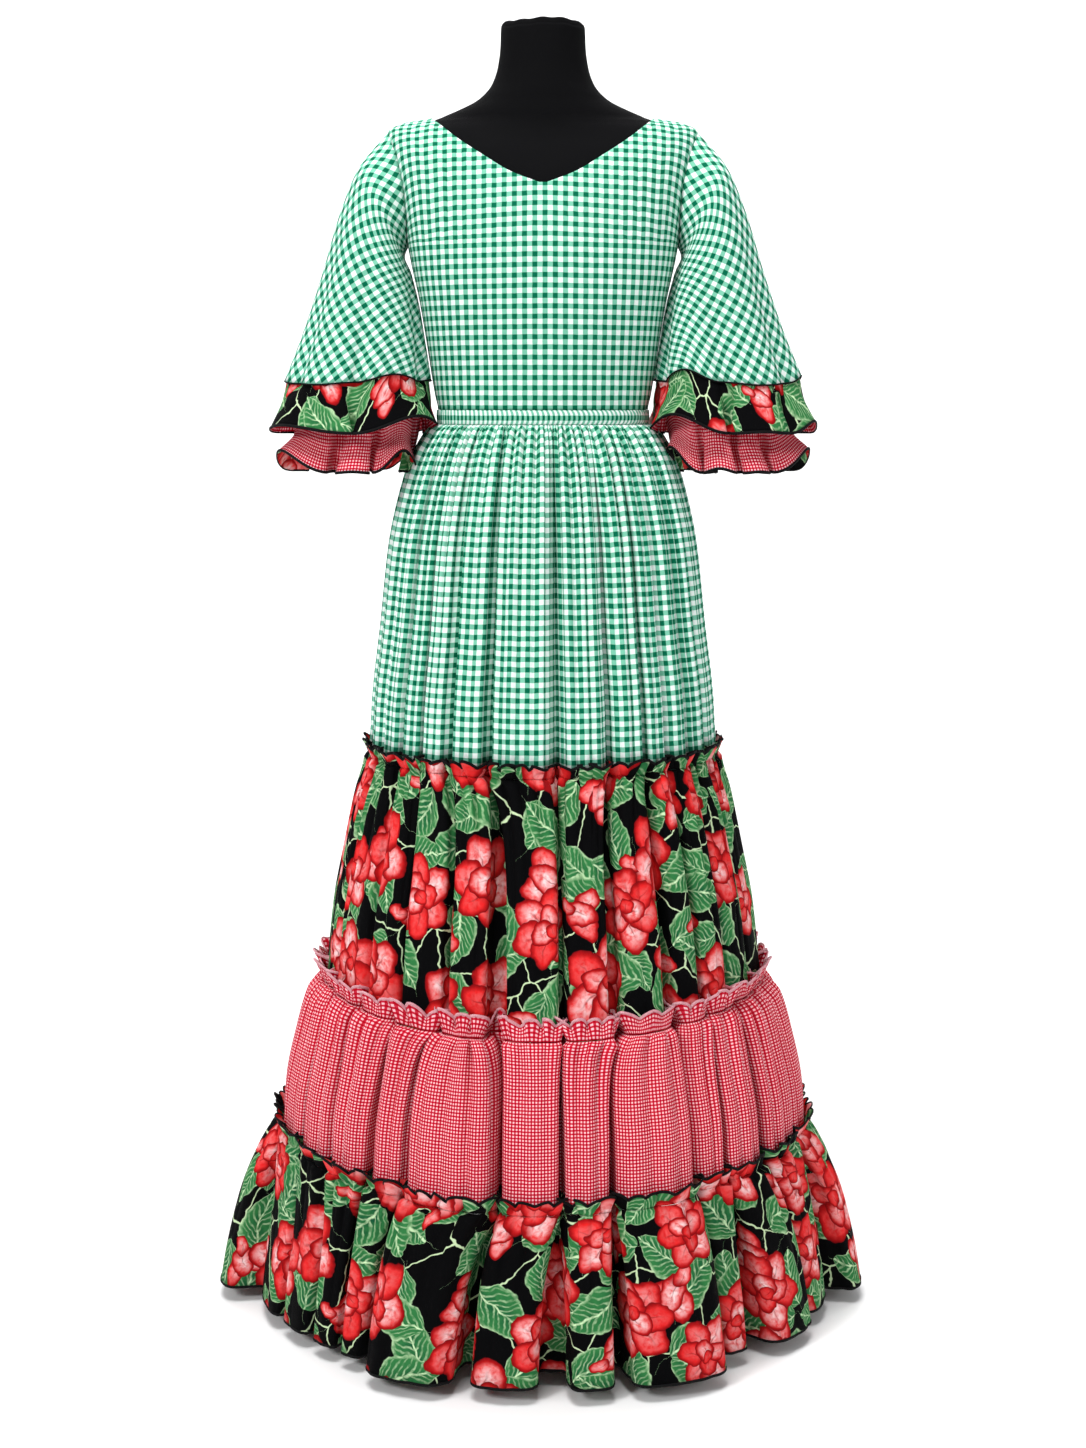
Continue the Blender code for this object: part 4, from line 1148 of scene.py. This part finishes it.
def scatter(tree, place, layer):
    """The nearest of a layer's motifs: place in its own turned axes, and its chances."""
    scale = (1 / layer.spacing, 1 / layer.spacing, 0.0)
    inputs = {0: place, 1: scale, 2: (*layer.shift, 0.0)}
    moved = add_node(tree, "VectorMath", inputs, operation="MULTIPLY_ADD").outputs[0]
    inputs = {"Vector": moved, "Scale": 1.0, "Randomness": layer.chance}
    cells = add_node(tree, "TexVoronoi", inputs, voronoi_dimensions="2D").outputs
    inputs = {0: moved, 1: cells["Position"]}
    apart = add_node(tree, "VectorMath", inputs, operation="SUBTRACT").outputs[0]
    chances = add_node(tree, "SeparateColor", {0: cells["Color"]}).outputs
    inputs = {"Vector": apart, "Angle": calc(tree, "MULTIPLY", chances[0], 2 * math.pi)}
    axes = split(tree, add_node(tree, "VectorRotate", inputs, rotation_type="Z_AXIS").outputs[0])
    x, y = (calc(tree, "MULTIPLY", axes[i], layer.spacing) for i in (0, 1))
    return x, y, chances[1], chances[2]


def petal_layer(tree, under, local, petal, streaks):
    """One petal over what lies under it: pale in the middle, red, and deep red at its edge."""
    inputs = {
        "Vector": local,
        "Location": (petal.x / 1000, petal.y / 1000, 0.0),
        "Rotation": (0.0, 0.0, math.radians(petal.turn)),
        "Scale": (petal.length / 2000, petal.width / 2000, 1.0),
    }
    axes = split(tree, add_node(tree, "Mapping", inputs, vector_type="TEXTURE").outputs[0])
    along, aside = axes[0], calc(tree, "ABSOLUTE", axes[1])
    wide = calc(tree, "DIVIDE", aside, calc(tree, "MULTIPLY_ADD", along, PETAL_TAPER, 1.0))
    squares = (calc(tree, "MULTIPLY", way, way) for way in (along, wide))
    radius = calc(tree, "SQRT", calc(tree, "ADD", *squares))
    inside = calc_range(tree, radius, *PETAL_BODY)
    glow = calc_range(tree, radius, *PETAL_GLOW, petal.pale, 0.0)
    glow = calc(tree, "MULTIPLY", glow, streaks)
    rim = calc_range(tree, radius, *PETAL_RIM)
    shade = calc(tree, "MAXIMUM", rim, calc_range(tree, along, *PETAL_ROOT))
    crease = calc_range(tree, aside, *PETAL_LINE)
    crease = calc(tree, "MULTIPLY", crease, calc_range(tree, along, *PETAL_LINE_END))
    shade = calc(tree, "MAXIMUM", shade, crease)
    colour = blend(tree, shade, blend(tree, glow, PETAL_RED, PETAL_PINK), PETAL_DEEP)
    return blend(tree, inside, under, colour)


def bloom_layer(tree, under, place, streaks, layer):
    """Scattered blooms, each turned and sized by chance, over what lies under them."""
    x, y, chance, _ = scatter(tree, place, layer)
    size = calc_range(tree, chance, 0.0, 1.0, *BLOOM_SIZES)
    sized = {i: calc(tree, "DIVIDE", axis, size) for i, axis in enumerate((x, y))}
    local = add_node(tree, "CombineXYZ", sized).outputs[0]
    for petal in layer.motif:
        under = petal_layer(tree, under, local, petal, streaks)
    return under


def leaf_layer(tree, under, place, streaks, layer):
    """Scattered pointed ovals with a rib and slanting veins, over what lies under them."""
    x, y, chance, tone = scatter(tree, place, layer)
    size = calc_range(tree, chance, 0.0, 1.0, *LEAF_SIZES)
    size = calc(tree, "MULTIPLY", size, layer.motif)
    x, y = calc(tree, "DIVIDE", x, size), calc(tree, "DIVIDE", y, size)
    bent = calc(tree, "MULTIPLY_ADD", calc(tree, "MULTIPLY", x, x), LEAF_BEND, y)
    off = calc(tree, "ABSOLUTE", bent)
    belly = calc(tree, "POWER", calc_range(tree, x, -0.5, 0.5), LEAF_BELLY)
    belly = calc(tree, "SINE", calc(tree, "MULTIPLY", belly, math.pi))
    half = calc(tree, "MULTIPLY", calc(tree, "POWER", belly, LEAF_ROUND), LEAF_HALF)
    share = calc(tree, "DIVIDE", off, calc(tree, "MAXIMUM", half, 0.001))
    inside = calc_range(tree, share, *LEAF_BODY)
    vein = ripple(tree, calc(tree, "MULTIPLY_ADD", off, VEIN_SLANT, x), VEIN_HALF)
    fade = calc_range(tree, share, *VEIN_FADE)
    light = calc(tree, "MULTIPLY", calc_range(tree, vein, *VEIN), fade)
    light = calc(tree, "MAXIMUM", light, calc_range(tree, off, *LEAF_RIB))
    light = calc(tree, "MAXIMUM", light, calc_range(tree, share, *LEAF_RIM))
    light = calc(tree, "MULTIPLY", light, streaks)
    deep = calc(tree, "MULTIPLY", calc_range(tree, share, *LEAF_HEART), streaks)
    deep = calc(tree, "MULTIPLY", deep, calc_range(tree, tone, *LEAF_TONES))
    leaf = blend(tree, light, blend(tree, deep, LEAF_GREEN, LEAF_DEEP), LEAF_PALE)
    return blend(tree, inside, under, leaf)


red_gingham = gingham_material("red_gingham", RED_CHECK, RED_DARK, RED_MID, RED_WHITE)

tree, given, result = new_group(
    "floral_scatter", (("Place", "Vector"), ("Ground", "Color")), (("Color", "Color"),)
)
print_group = tree
place = waver(tree, given["Place"], *BRUSH_WAVER)
streaks = calc_range(tree, noise(tree, place, *STREAK_GRAIN), *STREAKS)
tangle = add_node(
    tree,
    "TexVoronoi",
    {"Vector": place, "Scale": STEM_SPACING},
    feature="DISTANCE_TO_EDGE",
    voronoi_dimensions="2D",
)
stem = calc_range(tree, tangle.outputs["Distance"], *STEM)
colour = blend(tree, stem, given["Ground"], STEM_PALE)
for layer in LEAF_LAYERS:
    colour = leaf_layer(tree, colour, place, streaks, layer)
for layer in BLOOM_LAYERS:
    colour = bloom_layer(tree, colour, place, streaks, layer)
wire(tree, colour, result.inputs["Color"])

floral, tree, shader = new_material("floral_print")
printed = place_group(tree, print_group, Place=cloth_place(tree), Ground=PRINT_BLACK)
cotton_finish(tree, shader, printed["Color"])


# Tiers, frills and their edges
# The four tiers are sewn together from the waist down, each lower one with its frill. Close
# slanting stitches of thread hold the raw edges, black on the print and pink on the red frill.
EDGE_SIDES = 6
EDGE_HALF_HEIGHT = 0.0019
EDGE_HALF_THICKNESS = 0.0010
# Thread colours: darker in each stitch's groove and lighter on its crest, a painted shade and a
# painted sheen
THREAD_BLACK = (0.0012, 0.0012, 0.0014, 1.0)
THREAD_SHINE = (0.007, 0.007, 0.0075, 1.0)
THREAD_ROSE = (0.62, 0.16, 0.22, 1.0)
THREAD_PALE = (0.9, 0.64, 0.66, 1.0)
THREAD_ROUGHNESS = 0.7
THREAD_SPECULAR = 0.10
THREAD_RELIEF = (0.6, 0.0003)
STITCH_SHADING = (-0.4, 1.0)
STITCH = 0.0018
STITCH_SLANT = 0.6


def overlock_material(name, dark, light):
    """Close slanting stitches of thread over a raw edge, painted lighter on their crests."""
    material, tree, shader = new_material(name)
    axes = split(tree, cloth_place(tree))
    slant = calc(tree, "MULTIPLY_ADD", axes[1], STITCH_SLANT, axes[0])
    stitch = ripple(tree, slant, STITCH / 2)
    # A stitch's raised crest takes the lighter colour and its groove the darker one: a painted
    # sheen and painted shade
    colour = blend(tree, calc_range(tree, stitch, *STITCH_SHADING), dark, light)
    coat(tree, shader, colour, THREAD_ROUGHNESS, THREAD_SPECULAR)
    bump(tree, shader, stitch, *THREAD_RELIEF)
    return material


def add_edge(name, line, material, slot, height=EDGE_HALF_HEIGHT, thick=EDGE_HALF_THICKNESS):
    """A flattened roll of thread along a closed edge line."""
    ahead = np.roll(line, -1, axis=0) - np.roll(line, 1, axis=0)
    ahead /= np.maximum(np.linalg.norm(ahead, axis=1, keepdims=True), 1e-9)
    out = np.cross(ahead, (0.0, 0.0, 1.0))
    out /= np.maximum(np.linalg.norm(out, axis=1, keepdims=True), 1e-9)
    up = np.cross(out, ahead)
    turns = 2 * math.pi * np.arange(EDGE_SIDES) / EDGE_SIDES
    rings = []
    for turn in turns:
        rings.append(line + up * (height * math.cos(turn)) + out * (thick * math.sin(turn)))
    grid = np.array(rings + rings[:1])
    return add_shell(name, grid, cloth_lengths(grid), [material])


overlock_black = overlock_material("overlock_black", THREAD_BLACK, THREAD_SHINE)
overlock_pink = overlock_material("overlock_pink", THREAD_ROSE, THREAD_PALE)

tiers = (
    (green_gingham, "green_gingham", None),
    (floral, "floral_print", overlock_black),
    (red_gingham, "red_gingham", overlock_pink),
    (floral, "floral_print", overlock_black),
)
above = None
for tier, (material, slot, thread) in enumerate(tiers):
    piece, rows, cloth = add_tier(tier, above, material)
    trims = []
    if thread:
        frill, top = add_heading(tier, rows, cloth, above, material)
        trims = [frill, add_edge(f"skirt_heading_{tier + 1}_edge", top, thread, slot)]
    if tier == len(tiers) - 1:
        trims.append(add_edge("skirt_hem_edge", rows[-1], thread, slot))
    above = rows, outward(rows)


# Sleeves
# Bell sleeves of the green gingham cut on the bias, set plain into the armholes, so the checks
# stand on their points. They flare to a waved hem that lifts unevenly, overlocked in black.
SleeveRing = namedtuple("SleeveRing", "outer_x outer_z inner_x inner_z half_depth grown")
SLEEVE_RINGS = (
    SleeveRing(0.2327, 1.5160, 0.1785, 1.3980, 0.066, 0.00),
    SleeveRing(0.2600, 1.4560, 0.1700, 1.3780, 0.074, 0.12),
    SleeveRing(0.2855, 1.3740, 0.1590, 1.3420, 0.081, 0.32),
    SleeveRing(0.3125, 1.2950, 0.1480, 1.2850, 0.087, 0.62),
    SleeveRing(0.3360, 1.2360, 0.1410, 1.2400, 0.092, 1.00),
)
# One row a wave round a hem: the angle of its valley from the outer edge towards the front
# (degrees), the valley's depth and width, and how far the lobe after it lifts (mm)
Wave = namedtuple("Wave", "angle depth open rise")
SLEEVE_WAVES = {
    "left": (
        (-22, 9, 10, 11),
        (38, 10, 12, -3),
        (99, 15, 7, 15),
        (156, 9, 10, 3),
        (208, 8, 12, 6),
        (262, 10, 10, 0),
        (302, 8, 9, 7),
    ),
    "right": (
        (-28, 8, 11, 4),
        (34, 9, 12, -2),
        (91, 14, 8, 9),
        (152, 9, 9, 4),
        (200, 8, 12, 0),
        (246, 10, 10, 7),
        (296, 8, 10, 2),
    ),
}
WAVE_COLUMNS = 36
SLEEVE_ROWS = 34
HEM_REACH = 0.10
WAVE_SLANT = 0.15
SIDE_CLEARANCE = 0.003
BIAS = math.radians(43)
SLEEVE_EDGE = (0.0011, 0.0007)


def wave_columns(waves, slant, overhang):
    """Even and folded angle, share of the way out, valley depth and rise of each column."""
    waves = [Wave(*wave) for wave in waves]
    columns = []
    even = np.arange(WAVE_COLUMNS) / WAVE_COLUMNS
    for i, wave in enumerate(waves):
        after = waves[(i + 1) % len(waves)]
        end = after.angle + (360 if after.angle < wave.angle else 0)
        turn = math.radians(end - wave.angle)
        width = HEM_REACH * turn
        across, out = whole_fold(*(
            lobe_half(WAVE_COLUMNS, valley.open / 2000 / width, overhang / width, slant)
            for valley in (wave, after)
        ))
        start = math.radians(wave.angle)
        depth = (wave.depth + (after.depth - wave.depth) * across) / 1000
        rise = wave.rise / 1000 * np.sin(math.pi * np.clip(across, 0, 1)) ** 2
        columns.append(np.stack([start + turn * even, start + turn * across, out, depth, rise]))
    return np.concatenate(columns, axis=1)


def armhole_ring(angle):
    """The armhole's edge, as one point for each column of the sleeve."""
    loop = np.concatenate([armhole_edges[True], armhole_edges[False][::-1]])
    lengths = ring_lengths(loop)
    return on_ring(lengths, loop, np.mod(angle, 2 * math.pi) / (2 * math.pi) * lengths[-1])


def sleeve_ring(row, columns):
    """One ring of a sleeve or ruffle, seen from its outer edge round by the front."""
    even, folded, out, depth, rise = columns
    angle = even + (folded - even) * row.grown
    centre = np.array([(row.outer_x + row.inner_x) / 2, 0.0, (row.outer_z + row.inner_z) / 2])
    half = np.array([(row.outer_x - row.inner_x) / 2, 0.0, (row.outer_z - row.inner_z) / 2])
    valley = row.grown * depth * (1 - out)
    half_length = np.linalg.norm(half)
    ring = centre + half * (np.cos(angle) * (half_length - valley) / half_length)[:, None]
    ring[:, 1] = -(row.half_depth - valley) * np.sin(angle)
    ring[:, 2] += rise * row.grown
    return ring


def clear_of_body(ring):
    """Moves a ring's points out sideways where they would touch the dress at the side."""
    height = ring[:, 2]
    on_skirt = height < CASING_TOP
    bodice = [read_table(BODICE_SECTIONS, field, height) for field in ("half_width", "front")]
    wide, deep = np.where(on_skirt, skirt_size(height), bodice)
    inside = np.clip(1 - (ring[:, 1] / (deep + SIDE_CLEARANCE)) ** 2, 0.0, 1.0)
    ring = ring.copy()
    ring[:, 0] = np.maximum(ring[:, 0], wide * np.sqrt(inside) + SIDE_CLEARANCE + CLOTH)
    return ring


def bias(cloth):
    """The same places with the cloth's grain turned across the piece."""
    u, v = cloth[..., 0], cloth[..., 1]
    turned = u * math.cos(BIAS) - v * math.sin(BIAS), u * math.sin(BIAS) + v * math.cos(BIAS)
    return np.stack(turned, axis=-1)


def side_grid(rings, rows, side):
    """A grid of rows drawn smooth through rings for the wearer's left, or its mirror image."""
    steps = np.linspace(0.0, len(rings) - 1, rows)
    grid = smooth(np.arange(len(rings)), rings, steps)[:, ::-1]
    if side < 0:
        grid = grid[:, ::-1] * [-1.0, 1.0, 1.0]
    start = int(np.argmin(side * grid[len(grid) // 2, :, 0]))
    return np.roll(grid, -start, axis=1)


sleeve_ends = {}
for name, side in (("left", 1), ("right", -1)):
    columns = wave_columns(SLEEVE_WAVES[name], WAVE_SLANT, 0.0)
    rings = [armhole_ring(columns[0])]
    for row in SLEEVE_RINGS:
        rings.append(clear_of_body(sleeve_ring(row, columns)))
    sleeve_ends[name] = columns[0], np.array(rings[-2:])
    grid = side_grid(rings, SLEEVE_ROWS, side)
    cloth = cloth_lengths(grid)
    cloth[:, :, 0] -= cloth[:, -1:, 0] / 2
    piece = add_shell(
        f"sleeve_{name}_cloth", grid, bias(cloth), [green_gingham], CLOTH_WALL
    )
    edge = add_edge(
        f"sleeve_{name}_edge", grid[-1], overlock_black, "green_gingham", *SLEEVE_EDGE
    )
    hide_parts(f"sleeve_{name}")


# Sleeve ruffles
# Two short circular flounces sewn inside each sleeve's hem, a floral one and under it a longer
# one of small red gingham. Each is faced with the other's cloth and overlocked in black.
RuffleRing = namedtuple("RuffleRing", "outer_x inner_x height half_depth grown")
FLORAL_RUFFLE = (
    RuffleRing(0.3400, 0.1430, 1.2120, 0.097, 0.50),
    RuffleRing(0.3570, 0.1290, 1.1740, 0.112, 1.00),
)
RED_RUFFLE = (
    RuffleRing(0.3250, 0.1580, 1.2100, 0.076, 0.12),
    RuffleRing(0.3240, 0.1620, 1.1700, 0.073, 0.35),
    RuffleRing(0.3480, 0.1520, 1.1240, 0.110, 1.00),
)
FLORAL_WAVES = {
    "left": (
        (-8, 26, 14, 15),
        (50, 24, 8, 2),
        (94, 30, 18, 24),
        (172, 28, 14, 8),
        (228, 26, 16, 12),
        (288, 28, 12, 4),
    ),
    "right": (
        (-16, 28, 14, 10),
        (92, 30, 8, 22),
        (184, 28, 14, 6),
        (236, 26, 16, 12),
        (292, 28, 12, 4),
    ),
}
RED_WAVES = {
    "left": (
        (-26, 32, 14, 30),
        (62, 46, 24, 2),
        (90, 46, 26, 6),
        (122, 44, 18, 32),
        (182, 32, 14, 10),
        (232, 30, 12, 18),
        (284, 32, 14, 8),
    ),
    "right": (
        (-24, 32, 14, 28),
        (78, 50, 28, 2),
        (112, 48, 22, 28),
        (164, 32, 12, 10),
        (204, 32, 14, 16),
        (248, 30, 12, 6),
        (292, 30, 12, 14),
    ),
}
# A ruffle starts this share of a ring's distance above the sleeve's hem, and each one lies
# this far inside the cloth before it
RUFFLE_TOP = 0.1
RUFFLE_INSET = 0.0030
RUFFLE_SLANT = 0.05
RUFFLE_OVERHANG = 0.011
RUFFLE_ROWS = 22


def inside_sleeve(name, columns, share, inset):
    """The sleeve's ring at a share of the way up from its hem, drawn in by an inset."""
    angle, (upper, hem) = sleeve_ends[name]
    ring = hem + (upper - hem) * share
    ring = [np.interp(columns[0], angle, axis, period=2 * math.pi) for axis in ring.T]
    ring = np.stack(ring, axis=-1)
    inward = (ring - ring.mean(axis=0)) * [1.0, 1.0, 0.0]
    return ring - inward / np.linalg.norm(inward, axis=1, keepdims=True) * inset


for name, side in (("left", 1), ("right", -1)):
    for layer, (kind, rows, waves, faces, slot) in enumerate((
        ("floral", FLORAL_RUFFLE, FLORAL_WAVES, (floral, red_gingham), "floral_print"),
        ("red", RED_RUFFLE, RED_WAVES, (red_gingham, floral), "red_gingham"),
    )):
        columns = wave_columns(waves[name], RUFFLE_SLANT, RUFFLE_OVERHANG)
        inset = (layer + 1) * RUFFLE_INSET
        rings = [inside_sleeve(name, columns, share, inset) for share in (RUFFLE_TOP, 0.0)]
        for row in rows:
            level = SleeveRing(
                row.outer_x, row.height, row.inner_x, row.height, row.half_depth, row.grown
            )
            rings.append(clear_of_body(sleeve_ring(level, columns)))
        grid = side_grid(rings, RUFFLE_ROWS, side)
        cloth = cloth_lengths(grid, gathered=True)
        piece = add_shell(f"cuff_{kind}_{name}_cloth", grid, cloth, faces, CLOTH_WALL)
        edge = add_edge(f"cuff_{kind}_{name}_edge", grid[-1], overlock_black, "floral_print")
        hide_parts(f"cuff_{kind}_{name}")
